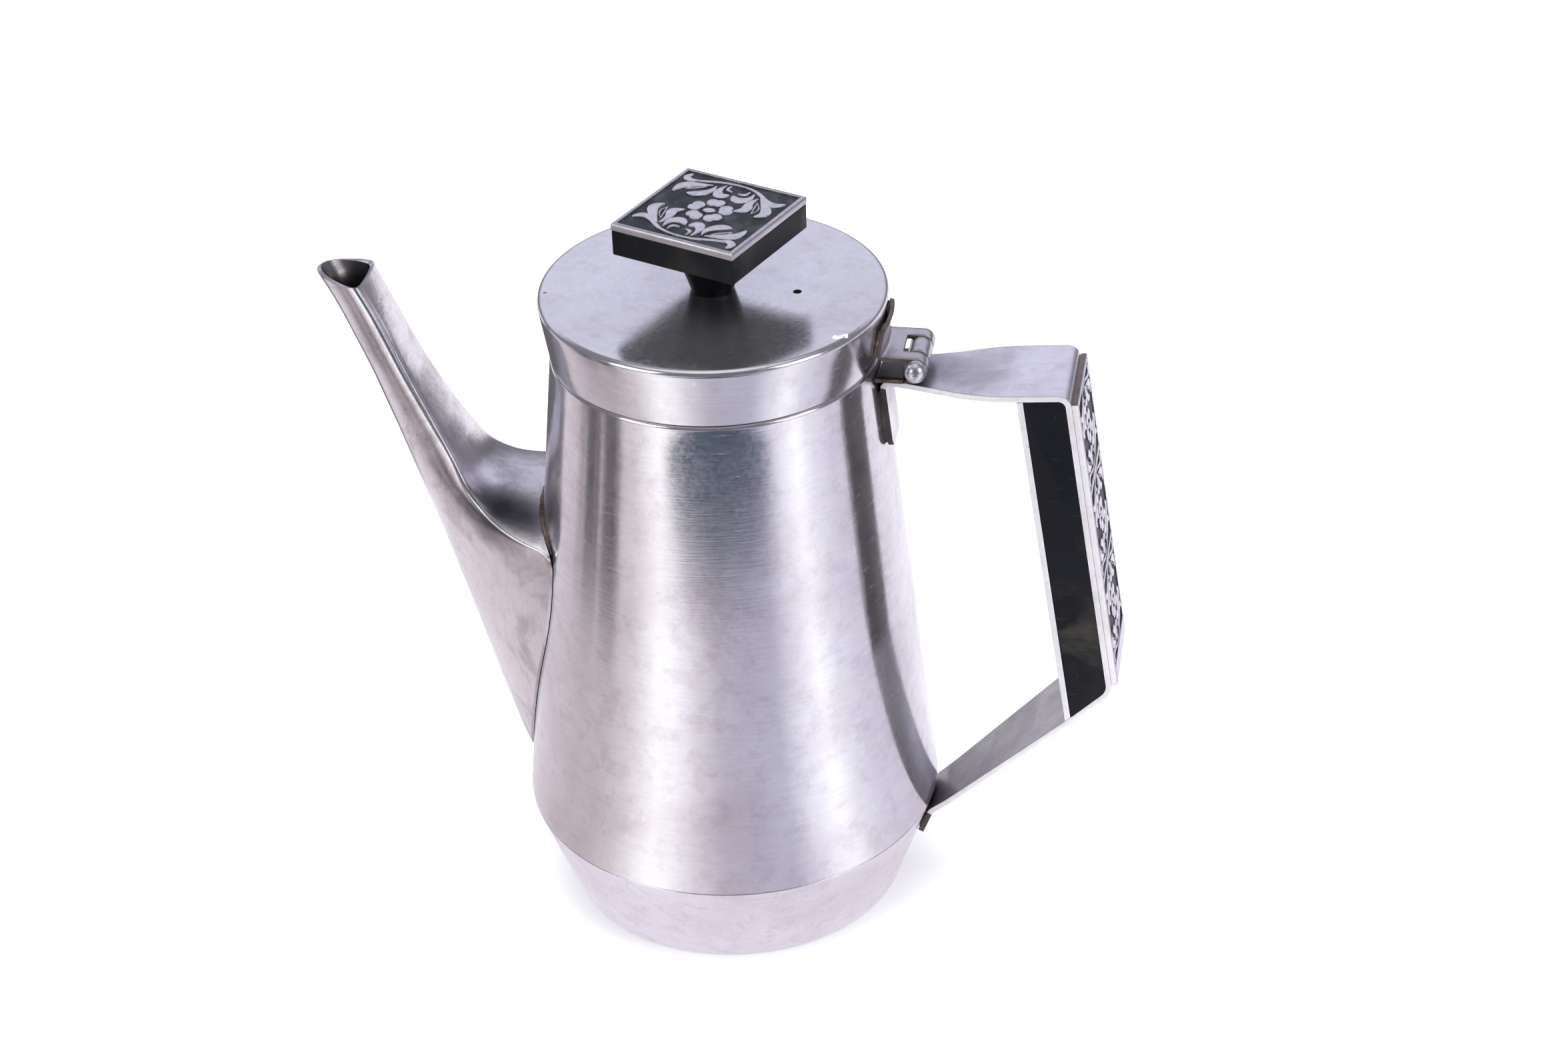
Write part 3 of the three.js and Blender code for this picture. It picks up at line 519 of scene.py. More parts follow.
BODY_STEEL = turned_steel("body_steel", (0.77, 0.76, 0.785), (0.55, 0.485, 0.52), 0.105, 0.5, 1.1, 0.45)
BASE_STEEL = turned_steel("base_steel", (0.84, 0.83, 0.86), (0.62, 0.57, 0.61), 0.22, 0.45, 1.2, 0.4)
LID_STEEL = turned_steel(
    "lid_steel", (0.72, 0.715, 0.735), (0.57, 0.54, 0.57), 0.115, 0.45, 0.5, 0.2, LID_CHIPS, LID_PITS,
)
SPOUT_STEEL = sheet_steel(
    "spout_steel", (0.87, 0.85, 0.87), (0.66, 0.58, 0.59), 0.18, 0.25, DOWN_SPOUT, dark_patches=SPOUT_SHADE_PATCHES,
)
SPOUT_INSIDE = sheet_steel("spout_inside", (0.52, 0.50, 0.50), (0.16, 0.12, 0.11), 0.26, 0.8, DOWN_SPOUT)
# The strap darkens towards the table as painted shade, and has soft dark patches round the hinge.
STRAP_STEEL = sheet_steel(
    "strap_steel", (0.86, 0.84, 0.87), (0.64, 0.62, 0.65), 0.26, 0.45, DOWN_STRAP, foot=0.45, dark_patches=STRAP_DARK_PATCHES,
)
# Painted shade: near-black steel for faces that shade falls on, under the strap's top arm, on the grip's
# finger strip, its screws and the lower hinge leaf.
SHADED_STEEL = sheet_steel("shaded_steel", (0.14, 0.135, 0.14), (0.07, 0.065, 0.065), 0.34, 0.7, DOWN_STRAP)
RIM_STEEL = sheet_steel("rim_steel", (0.66, 0.65, 0.68), (0.50, 0.47, 0.49), 0.30, 0.4, EVEN)
EDGE_STEEL = sheet_steel("edge_steel", (0.86, 0.84, 0.85), (0.62, 0.56, 0.53), 0.45, 0.35, ON_EDGE, 1.6, 0.5)
# Burnt steel for sheet edges, darkened further as painted shade where the hinge's flange meets the lid's
# skirt.
BURNT_AND_SHADED_EDGE = sheet_steel(
    "burnt_and_shaded_edge", (0.205, 0.17, 0.15), (0.07, 0.058, 0.052), 0.42, 0.7, ON_EDGE, 1.6, 0.85,
)
# Sooty steel for the strap's ends and the beads by the tab, made darker as painted shade in the grooves
# against the pot.
SOOT_AND_SHADE_EDGE = sheet_steel(
    "soot_and_shade_edge", (0.11, 0.095, 0.088), (0.04, 0.034, 0.03), 0.45, 0.7, ON_EDGE, 1.6, 0.8,
)
HINGE_STEEL = sheet_steel("hinge_steel", (0.60, 0.58, 0.60), (0.40, 0.38, 0.40), 0.30, 0.5, ON_LEAF)
PIN_STEEL = sheet_steel("pin_steel", (0.68, 0.67, 0.70), (0.56, 0.54, 0.57), 0.27, 0.2, EVEN, 0.3)
INSIDE_STEEL = inside_steel()
BLACK = black_plastic()
CAST = cast_relief()
BRAZE = braze_metal()


# ---------------------------------------------------------------- mesh helpers


def make_piece(name, points, faces, materials, body, nodes=(), sharp=33.0, merge=True):
    """A smooth-shaded mesh piece, from points in millimetres, that rides on a body."""
    mesh = bpy.data.meshes.new(name)
    mesh.from_pydata([tuple(float(v) * MM for v in point) for point in points], [], faces)
    work = bmesh.new()
    work.from_mesh(mesh)
    if merge:
        bmesh.ops.remove_doubles(work, verts=work.verts, dist=1e-7)
    bmesh.ops.recalc_face_normals(work, faces=work.faces)
    work.to_mesh(mesh)
    work.free()
    for material in materials:
        mesh.materials.append(material)
    piece = new_object(name, mesh)
    shade(piece, sharp)
    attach(piece, body)
    if nodes:
        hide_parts(*nodes)
    return piece


def shade(piece, sharp=33.0):
    piece.data.shade_smooth()
    piece.data.set_sharp_from_angle(angle=math.radians(sharp))


def apply_modifiers(piece, sharp=33.0):
    """Puts the modifiers' result into the mesh itself."""
    bpy.context.view_layer.update()
    result = bpy.data.meshes.new_from_object(piece.evaluated_get(bpy.context.evaluated_depsgraph_get()))
    piece.modifiers.clear()
    piece.data = result
    shade(piece, sharp)


def round_edges(piece, width, segments, degrees):
    """Bevels the edges that are sharper than an angle."""
    soft = piece.modifiers.new("edges", "BEVEL")
    soft.width = width * MM
    soft.segments = segments
    soft.limit_method = "ANGLE"
    soft.angle_limit = math.radians(degrees)


def grid_faces(rows, columns, start=0, wrap=False):
    """Quads of a grid of points; wrap joins the last column to the first."""
    faces = []
    across = columns if wrap else columns - 1
    for i in range(rows - 1):
        for j in range(across):
            a = start + i * columns + j
            b = start + i * columns + (j + 1) % columns
            faces.append((a, b, b + columns, a + columns))
    return faces


def fillet(corners, closed=True, step=12.0):
    """Rounds the corners of an outline; a corner is (x, y) or (x, y, radius)."""
    points = []
    count = len(corners)
    for i, corner in enumerate(corners):
        radius = corner[2] if len(corner) > 2 else 0.0
        here = Vector(corner[:2])
        if radius <= 0 or (not closed and i in (0, count - 1)):
            points.append(here)
            continue
        before = (Vector(corners[i - 1][:2]) - here).normalized()
        after = (Vector(corners[(i + 1) % count][:2]) - here).normalized()
        half = before.angle(after) / 2
        centre = here + (before + after).normalized() * (radius / math.sin(half))
        start = here + before * (radius / math.tan(half)) - centre
        end = here + after * (radius / math.tan(half)) - centre
        turn = math.atan2(start.x * end.y - start.y * end.x, start.dot(end))
        steps = max(2, math.ceil(abs(math.degrees(turn)) / step))
        for k in range(steps + 1):
            angle = turn * k / steps
            spoke = Vector((
                start.x * math.cos(angle) - start.y * math.sin(angle),
                start.x * math.sin(angle) + start.y * math.cos(angle),
            ))
            points.append(centre + spoke)
    return points


def refined(points, longest, closed=False):
    """Adds points so that no two neighbours are further apart than a step."""
    dense = []
    ends = list(points[1:]) + ([points[0]] if closed else [])
    for start, end in zip(points, ends):
        pieces = max(1, math.ceil((end - start).length / longest))
        dense.extend(start.lerp(end, k / pieces) for k in range(pieces))
    if not closed:
        dense.append(points[-1])
    return dense


def turned(name, profile, materials, body, nodes=(), steps=TURN_STEPS, longest=6.0,
           sharp=33.0):
    """Turns a closed outline of (radius, height) corners about Z."""
    outline = refined(fillet(profile), longest, closed=True)
    points = []
    for k in range(steps):
        angle = 2 * math.pi * k / steps
        c, s = math.cos(angle), math.sin(angle)
        points.extend((max(p.x, 0.0) * c, max(p.x, 0.0) * s, p.y) for p in outline)
    count = len(outline)
    faces = []
    for k in range(steps):
        this, other = k * count, ((k + 1) % steps) * count
        for j in range(count):
            nxt = (j + 1) % count
            if outline[j].x <= 1e-6 and outline[nxt].x <= 1e-6:
                continue
            faces.append((this + j, other + j, other + nxt, this + nxt))
    return make_piece(name, points, faces, materials, body, nodes, sharp)


def paint_faces(piece, slot_index, chosen):
    """Gives a second material to the faces that a test on centre and normal (mm) picks."""
    for face in piece.data.polygons:
        if chosen(face.center / MM, face.normal):
            face.material_index = slot_index


def faces_axis(at, normal):
    """Whether a face looks inward, at the Z axis."""
    return normal.x * at.x + normal.y * at.y < 0


def cut_away(piece, work):
    """Takes the solids of a bmesh out of a piece."""
    mesh = bpy.data.meshes.new("cutter")
    work.to_mesh(mesh)
    work.free()
    cutter = new_object("cutter", mesh)
    knife = piece.modifiers.new("holes", "BOOLEAN")
    knife.operation = "DIFFERENCE"
    knife.solver = "EXACT"
    knife.object = cutter
    apply_modifiers(piece)
    bpy.data.objects.remove(cutter)


def cut_round_holes(piece, holes):
    """Cuts cylinders, each (start, end, radius) in millimetres, out of a piece."""
    work = bmesh.new()
    for start, end, radius in holes:
        start, end = Vector(start), Vector(end)
        turn = (end - start).to_track_quat("Z", "Y").to_matrix().to_4x4()
        size = {"radius1": radius * MM, "radius2": radius * MM, "depth": (end - start).length * MM}
        place = Matrix.Translation((start + end) / 2 * MM) @ turn
        bmesh.ops.create_cone(work, cap_ends=True, segments=36, matrix=place, **size)
    cut_away(piece, work)


# ---------------------------------------------------------------- pot


def make_body():
    """Upper cone with its rolled mouth, and the strainer holes behind the spout."""
    low = RIDGE_Z + 0.05
    top = SEAM_Z - GAP / 2
    profile = [
        (wall_r(low), low, 0.2),
        (wall_r(top), top, 1.15),
        (wall_r(top) - 1.7, top, 0.25),
        (wall_r(top) - 1.75, top - 1.2, 0.5),
        (wall_r(top - 5) - SHEET, top - 5, 4.0),
        (wall_r(low) - SHEET, low, 0.2),
    ]
    piece = turned("body_wall", profile, [BODY_STEEL, INSIDE_STEEL], "pot", ("body_shell",))
    holes = []
    for row in range(HOLE_ROWS):
        z = FIRST_HOLE_Z + row * HOLE_PITCH
        for share in ((-1.0, 0.0, 1.0) if row % 2 == 0 else (-0.5, 0.5)):
            y = share * HOLE_PITCH
            holes.append(((-wall_r(z) + 6, y, z), (-wall_r(z) - 4, y, z), HOLE_R))
    cut_round_holes(piece, holes)
    paint_faces(piece, 1, faces_axis)


def make_base():
    """Lower cone with its rolled foot, and a lip that stands inside the upper cone."""
    top = RIDGE_Z - 0.05

    def lip(z):
        return wall_r(z) - SHEET - GAP

    def inside(at, n):
        return at.z > 0.9 and (faces_axis(at, n) or (n.z > 0.7 and at.z < 4))

    profile = [
        (0, 0.55),
        (FOOT_RING_R - 1.5, 0.55, 1.0),
        (FOOT_RING_R, 0.0, 1.0),
        (BASE_R, 0.0, 2.3),
        (wall_r(top), top, 0.2),
        (lip(top), top),
        (lip(RIDGE_Z + 4), RIDGE_Z + 4, 0.2),
        (lip(RIDGE_Z + 4) - 0.8, RIDGE_Z + 4, 0.2),
        (lip(RIDGE_Z) - 0.8, RIDGE_Z, 1.0),
        (BASE_R - 0.9, 1.0, 1.6),
        (0, 1.0),
    ]
    piece = turned("base_wall", profile, [BASE_STEEL, INSIDE_STEEL], "pot", ("base_cup",))
    paint_faces(piece, 1, inside)


# ---------------------------------------------------------------- spout

# Stations down the spout: the flat back's (x, z), its half width between the creases, and the
# nose's (x, z). The last ones lie inside the pot, where the sheet is trimmed off.
SPOUT_STATIONS = (
    (-87.2, 171.7, 7.1, -100.2, 173.4),
    (-83.6, 163.6, 6.9, -96.2, 165.0),
    (-80.2, 155.3, 7.2, -92.5, 155.6),
    (-76.8, 147.0, 7.8, -89.2, 147.0),
    (-73.2, 139.2, 8.6, -86.4, 138.6),
    (-69.6, 131.8, 9.6, -83.9, 130.8),
    (-66.4, 125.7, 10.8, -81.7, 123.6),
    (-63.3, 120.1, 12.8, -79.8, 117.3),
    (-59.8, 116.2, 15.1, -78.1, 111.6),
    (-56.0, 113.4, 17.6, -76.5, 106.2),
    (-51.2, 111.3, 20.5, -74.9, 100.6),
    (-45.0, 109.8, 23.4, -73.0, 93.6),
    (-38.6, 107.4, 25.9, -70.6, 84.8),
    (-36.0, 97.5, 28.3, -68.3, 76.6),
    (-37.0, 84.0, 27.9, -65.8, 67.4),
    (-39.5, 70.0, 24.9, -63.3, 57.8),
    (-42.5, 56.5, 21.4, -60.7, 48.6),
    (-45.0, 44.5, 18.2, -58.1, 39.6),
    (-46.0, 35.0, 14.0, -55.5, 32.6),
    (-45.0, 27.0, 9.0, -51.2, 26.4),
)
SPOUT_SHEET = 1.1
SPOUT_SIDE_STEPS = 30
SPOUT_BACK_STEPS = 18
SPOUT_ROWS = 150
BACK_CROWN = 0.088
BEND_CROWN = 0.14
# How strongly points crowd towards the crease on the back, and on the side.
BACK_CROWDING = 1.35
SIDE_CROWDING = 1.5
# How far from the wall the outer and the inner skin stop.
OUTER_STOP = 0.85
INNER_STOP = 0.15


def natural_spline(values, at):
    """Smooth curve through evenly spaced rows of values, read at positions from 0 to rows - 1."""
    values = np.asarray(values, float)
    count = len(values)
    system = np.eye(count)
    right = np.zeros_like(values)
    for i in range(1, count - 1):
        system[i, i - 1:i + 2] = (1, 4, 1)
        right[i] = 6 * (values[i - 1] - 2 * values[i] + values[i + 1])
    bend = np.linalg.solve(system, right)
    low = np.clip(np.floor(at).astype(int), 0, count - 2)
    t = (at - low)[:, None]
    a, b = values[low], values[low + 1]
    c, d = bend[low], bend[low + 1]
    return a * (1 - t) + b * t + ((1 - t) ** 3 - (1 - t)) * c / 6 + (t ** 3 - t) * d / 6


def line_normals(points):
    """Unit normals to the left of a run of (x, z) points."""
    run = np.gradient(points, axis=0)
    run /= np.linalg.norm(run, axis=1)[:, None]
    return np.stack([-run[:, 1], run[:, 0]], axis=1)


def spout_sections(at, depth):
    """Rings of the spout at station positions, moved inward by a depth: an array of ring, point, xyz."""
    rows = natural_spline(SPOUT_STATIONS, at)
    back, half, nose = rows[:, 0:2], rows[:, 2], rows[:, 3:5]
    outward = line_normals(back)
    back = back - outward * depth
    nose = nose + line_normals(nose) * depth * 1.2
    half = half - depth * 1.15 + np.interp(at, (0, 5), (0.9, 0.0))
    along = np.clip(at / (len(SPOUT_STATIONS) - 1) * 1.8, 0, 1)
    nose_power = 2.0 + (1.15 - 2.0) * along
    side_power = 1.9 + (1.3 - 1.9) * along
    crowning = np.interp(at, (6, 9, 12, 15), (BACK_CROWN, BEND_CROWN, BEND_CROWN, BACK_CROWN))
    near = []
    for k in range(SPOUT_BACK_STEPS + 1):
        share = 1 - (1 - k / SPOUT_BACK_STEPS) ** BACK_CROWDING
        crown = outward * (half * crowning * (1 - share ** 2))[:, None]
        near.append(np.stack([back[:, 0] + crown[:, 0], half * share, back[:, 1] + crown[:, 1]], axis=1))
    for k in range(1, SPOUT_SIDE_STEPS + 1):
        reach = math.sin((k / SPOUT_SIDE_STEPS) ** SIDE_CROWDING * math.pi / 2)
        width = half * np.maximum(1 - reach ** nose_power, 0) ** (1 / side_power)
        middle = back + (nose - back) * reach
        near.append(np.stack([middle[:, 0], width, middle[:, 1]], axis=1))
    near = np.stack(near, axis=1)
    far = near[:, -2:0:-1] * np.array([1, -1, 1])
    ring = np.concatenate([near, far], axis=1)
    reach = np.interp(at, (0, 3, 6, 9, 14), (1.9, 1.5, 0.75, 0.95, 0.5)) * (1.0 if depth == 0 else 0.75)
    return rounded_rings(ring, reach)


def rounded_rings(rings, reach):
    """Rounds the creases of every ring by a Gaussian blur along it; reach is each ring's sigma."""
    count = 400
    closed = np.concatenate([rings, rings[:, :1]], axis=1)
    steps = np.linalg.norm(np.diff(closed, axis=1), axis=2)
    travelled = np.concatenate([np.zeros((len(rings), 1)), np.cumsum(steps, axis=1)], axis=1)
    waves = np.arange(count // 2 + 1)
    result = np.empty_like(rings)
    for i, (ring, at) in enumerate(zip(closed, travelled)):
        even = np.linspace(0, at[-1], count, endpoint=False)
        blur = np.exp(-2 * (math.pi * waves * reach[i] / at[-1]) ** 2)
        for axis in range(3):
            smooth = np.fft.irfft(np.fft.rfft(np.interp(even, at, ring[:, axis])) * blur, count)
            result[i, :, axis] = np.interp(at[:-1], even, smooth, period=at[-1])
    return result


def trimmed_skin(depth, clearance):
    """Grid of the spout's skin from its mouth to where each line down it meets the pot's wall."""
    fine = np.linspace(0, len(SPOUT_STATIONS) - 1.0, 1200)
    rings = spout_sections(fine, depth)
    radius = np.hypot(rings[:, :, 0], rings[:, :, 1])
    outside = radius - wall_radii(rings[:, :, 2]) - clearance
    skin = np.zeros((SPOUT_ROWS, rings.shape[1], 3))
    share = np.linspace(0, 1, SPOUT_ROWS)
    for j in range(rings.shape[1]):
        inside = np.nonzero(outside[:, j] < 0)[0]
        last = inside[0] if len(inside) else len(fine) - 1
        before = outside[last - 1, j]
        end = fine[last - 1] + (fine[last] - fine[last - 1]) * before / (before - outside[last, j])
        stops = end * share
        for axis in range(3):
            skin[:, j, axis] = np.interp(stops, fine, rings[:, j, axis])
    return skin


def make_spout():
    """Sheet spout, open at the mouth and trimmed to the wall; gives back its outer skin."""
    outer = trimmed_skin(0.0, OUTER_STOP)
    inner = trimmed_skin(SPOUT_SHEET, INNER_STOP)
    rows, count = outer.shape[:2]
    lip_points = (outer[0] + inner[0]) / 2 + (outer[0] - outer[1]) * 0.12
    points = np.concatenate([outer.reshape(-1, 3), inner.reshape(-1, 3), lip_points])
    faces = grid_faces(rows, count, 0, True) + grid_faces(rows, count, rows * count, True)
    skin_faces = len(faces)
    inside, lip, last = rows * count, 2 * rows * count, (rows - 1) * count
    for a, b in ((0, lip), (inside, lip), (last, inside + last)):
        faces += [(a + j, a + (j + 1) % count, b + (j + 1) % count, b + j) for j in range(count)]
    steels = [SPOUT_STEEL, RIM_STEEL, SPOUT_INSIDE]
    piece = make_piece("spout_beak", points, faces, steels, "pot", ("spout_shell",), sharp=38.0, merge=False)
    for index, face in enumerate(piece.data.polygons):
        if index >= skin_faces // 2:
            face.material_index = 1 if index >= skin_faces else 2
    return outer


# ---------------------------------------------------------------- bent sheet


def bent_sheet(name, line, ys, materials, body, nodes, thickness, shift, bevel, keep=None):
    """Sheet bent along a line of (x, z) points.

    ys(i) gives a row's y values, shift(i, y) moves a point along X, and keep(i, j) says which cells stay."""
    columns = len(ys(0))
    points = []
    for i, point in enumerate(line):
        points += [(point.x + shift(i, y), y, point.y) for y in ys(i)]
    faces = []
    for i in range(len(line) - 1):
        for j in range(columns - 1):
            if keep is None or keep(i, j):
                a = i * columns + j
                faces.append((a, a + 1, a + 1 + columns, a + columns))
    piece = make_piece(name, points, faces, materials, body, nodes, merge=False)
    work = bmesh.new()
    work.from_mesh(piece.data)
    bmesh.ops.delete(work, geom=[v for v in work.verts if not v.link_faces], context="VERTS")
    work.to_mesh(piece.data)
    work.free()
    thick = piece.modifiers.new("thickness", "SOLIDIFY")
    thick.thickness = thickness * MM
    thick.offset = 0.0
    thick.use_even_offset = True
    thick.material_offset_rim = 1
    round_edges(piece, bevel, 2, 50)
    apply_modifiers(piece, 30.0)
    return piece


def hug(radius, y):
    """How far a round wall falls back at y from its nearest line."""
    return math.sqrt(max(radius * radius - y * y, 0.0)) - radius


# ---------------------------------------------------------------- handle

TAB_OFF = GAP + STRAP / 2
TAB_HUG = 0.3
STRAP_CORNERS = (
    (wall_r(TAB_BOTTOM_Z) + TAB_OFF, TAB_BOTTOM_Z),
    (wall_r(TAB_TOP_Z) + TAB_OFF, TAB_TOP_Z, 2.0),
    (61.0, 153.05, 40.0),
    (ARM_KINK.x, ARM_KINK.y, 60.0),
    (GRIP_TOP.x, GRIP_TOP.y, 2.6),
    (GRIP_BOTTOM.x, GRIP_BOTTOM.y, 4.5),
    (ARM_FOOT.x, ARM_FOOT.y, 4.0),
    (wall_r(FOOT_TIP_Z) + TAB_OFF * 1.06, FOOT_TIP_Z),
)
STRAP_WIDTHS = (
    (0.0, 4.6), (0.5, 5.3), (1.2, 5.6), (19.2, 6.0), (22.2, 6.8), (30.2, 8.9), (36.2, 10.7), (41.7, 12.1),
    (46.2, 12.75), (51.2, GRIP_HALF), (160.5, GRIP_HALF), (210.5, 8.2), (217.5, 7.2), (220.5, 6.4),
)
GRIP_RUN = (GRIP_BOTTOM - GRIP_TOP).normalized()
GRIP_OUT = Vector((-GRIP_RUN.y, GRIP_RUN.x))


def grip_point(down, out):
    """(x, z) of a place a distance down the grip and a distance out from the strap's middle."""
    return GRIP_TOP + GRIP_RUN * down + GRIP_OUT * out


def smooth_rows(rows, reach, at):
    """A table's value, averaged over a short reach so that its corners are rounded."""
    keys, values = zip(*rows)
    return float(np.mean([np.interp(at + reach * k, keys, values) for k in np.linspace(-1, 1, 9)]))


def make_strap():
    """Strip from the tab under the hinge, round the grip, to the foot on the lower cone."""
    line = refined(fillet(STRAP_CORNERS, closed=False, step=6.0), 2.0)
    travelled = np.cumsum([0.0] + [(b - a).length for a, b in zip(line, line[1:])])
    shares = (-1.0, -0.965, -0.8, -0.5, -0.2, 0.2, 0.5, 0.8, 0.965, 1.0)
    total = travelled[-1]

    def half(i):
        reach = 3.0 if 3.5 < travelled[i] < total - 5 else 0.2
        return smooth_rows(STRAP_WIDTHS, reach, travelled[i])

    def shift(i, y):
        at = travelled[i]
        tab = float(np.interp(at, (0, 17, 25), (TAB_HUG, TAB_HUG, 0)))
        foot = float(np.interp(at, (total - 14, total - 7, total), (0, 1, 1)))
        return hug(wall_r(line[i].y), y) * max(tab, foot)

    def at_end(at):
        return at.z < ARM_FOOT.y - 1 or TAB_BOTTOM_Z - 2 < at.z < TAB_TOP_Z - 1.5 and at.x < 50

    strap = bent_sheet(
        "strap", line, lambda i: [share * half(i) for share in shares], [STRAP_STEEL, EDGE_STEEL],
        "pot", ("handle_strap",), STRAP, shift, 0.28,
    )
    strap.data.materials.append(SHADED_STEEL)
    strap.data.materials.append(SOOT_AND_SHADE_EDGE)
    # Painted shade on the underside of the strap's top arm.
    paint_faces(strap, 2, lambda at, n: n.z < -0.8 and at.z > 140)
    # Sooty ends of the strap where it meets the pot, darkened as painted shade in the groove.
    paint_faces(strap, 3, lambda at, n: at_end(at) and (abs(n.y) > 0.6 or n.x < -0.5))


def grip_corner(out, arm_point, arm_run, arm_in):
    """Where a layer of the grip meets an arm, moved in by a clearance."""
    start = GRIP_TOP + GRIP_OUT * out
    base = arm_point + Vector((-arm_run.y, arm_run.x)) * arm_in
    gap = base - start
    along = (gap.x * arm_run.y - gap.y * arm_run.x) / (GRIP_RUN.x * arm_run.y - GRIP_RUN.y * arm_run.x)
    return start + GRIP_RUN * along


def grip_layer(from_in, to_in, clearance):
    """Four corners of a layer between two depths under the strap."""
    top_run = (GRIP_TOP - ARM_KINK).normalized()
    low_run = (ARM_FOOT - GRIP_BOTTOM).normalized()
    inset = -(STRAP / 2 + clearance)
    return (
        grip_corner(-from_in, GRIP_TOP, top_run, inset),
        grip_corner(-to_in, GRIP_TOP, top_run, inset),
        grip_corner(-to_in, GRIP_BOTTOM, low_run, inset),
        grip_corner(-from_in, GRIP_BOTTOM, low_run, inset),
    )


def prism(name, ends, materials, body, node, bevel):
    """Closed prism between two matching outlines of points, with bevelled edges."""
    count = len(ends[0])
    faces = [tuple(range(count)), tuple(range(2 * count - 1, count - 1, -1))]
    faces += [(i, (i + 1) % count, count + (i + 1) % count, count + i) for i in range(count)]
    piece = make_piece(name, ends[0] + ends[1], faces, materials, body, (node,))
    round_edges(piece, bevel, 3, 40)
    apply_modifiers(piece)
    return piece


def pushed(name, outline, half, materials, node, bevel):
    """Piece of the pot that fills a closed outline of (x, z) points to both sides along Y."""
    rim = refined(outline, 4.0, closed=True)
    ends = [[(p.x, y, p.y) for p in rim] for y in (-half, half)]
    return prism(name, ends, materials, "pot", node, bevel)


BLOCK_FROM = STRAP / 2 + 0.05
BLOCK_TO = STRAP / 2 + GAP + BLOCK_DEPTH
STRIP_FROM = BLOCK_TO + 0.05
STRIP_TO = BLOCK_TO + GAP + STRIP
SCREW_LENGTH = 11.12
SCREW_SLOT = (7.0, 0.7, 1.3)


def make_grip():
    """Black block inside the strap, and the steel strip on its finger side."""
    corners = grip_layer(BLOCK_FROM, BLOCK_TO, 0.05)
    radii = (1.8, 0.3, 0.3, 3.6)
    outline = fillet([(*corner, radius) for corner, radius in zip(corners, radii)])
    pushed("grip_moulding", outline, GRIP_HALF - 0.1, [BLACK], "grip_block", 0.25)
    corners = grip_layer(STRIP_FROM, STRIP_TO, 0.1)
    outline = fillet([(*corner, 0.15) for corner in corners])
    steels = [EDGE_STEEL, SHADED_STEEL]
    strip = pushed("grip_strip", outline, GRIP_HALF, steels, "grip_inner_strip", 0.2)
    holes = []
    for down in SCREW_STATIONS:
        start, end = grip_point(down, -STRIP_TO - 1.0), grip_point(down, -STRIP_FROM + 0.5)
        holes.append(((start.x, 0, start.y), (end.x, 0, end.y), SCREW_HOLE_R))
    cut_round_holes(strip, holes)
    # Painted shade: the strip's broad faces, between the block and the pot, get the near-black steel.
    paint_faces(strip, 1, lambda at, n: abs(n.x * GRIP_OUT.x + n.z * GRIP_OUT.y) > 0.9)


def make_grip_screw(name, node, down):
    """Countersunk head with a slot, seen from the finger side."""
    profile = [(0, 0), (1.5, 0), (1.5, 9.4), (3.0, 10.75, 0.1), (3.0, 11.0, 0.12), (0, SCREW_LENGTH)]
    # Painted shade: the screw heads get the near-black steel, so that they show no glints.
    piece = turned(name, profile, [SHADED_STEEL], "pot", (node,), steps=48, longest=2.0)
    work = bmesh.new()
    tip = Matrix.Translation((0, 0, SCREW_LENGTH * MM))
    size = Matrix.Diagonal(Vector(SCREW_SLOT) * MM).to_4x4()
    bmesh.ops.create_cube(work, size=1.0, matrix=tip @ size)
    cut_away(piece, work)
    head = grip_point(down, -STRIP_TO + 0.05)
    inward = Vector((-GRIP_OUT.x, 0, -GRIP_OUT.y))
    turn = inward.to_track_quat("Z", "Y").to_matrix().to_4x4()
    spin = Matrix.Rotation(0.5 + down, 4, "Z")
    place = Matrix.Translation(Vector((head.x, 0, head.y)) * MM) @ turn @ spin
    piece.data.transform(place @ tip.inverted())
    shade(piece)


# ---------------------------------------------------------------- relief plates


def stroke(grid, route, widths):
    """Signed distance, positive inside, to a tapering stroke along a smooth route."""
    at = np.linspace(0, len(route) - 1.0, 110)
    line = natural_spline(route, at)
    radius = natural_spline([[w] for w in widths], at * (len(widths) - 1) / (len(route) - 1))[:, 0]
    best = np.full(grid.shape[:-1], -9.0)
    for point, r in zip(line, radius):
        best = np.maximum(best, r - np.hypot(grid[..., 0] - point[0], grid[..., 1] - point[1]))
    return best


def oval(grid, centre, size, turn):
    """Signed distance, roughly, to a turned oval."""
    c, s = math.cos(turn), math.sin(turn)
    x, y = grid[..., 0] - centre[0], grid[..., 1] - centre[1]
    u, v = (c * x + s * y) / size[0], (c * y - s * x) / size[1]
    return (1 - np.hypot(u, v)) * min(size)


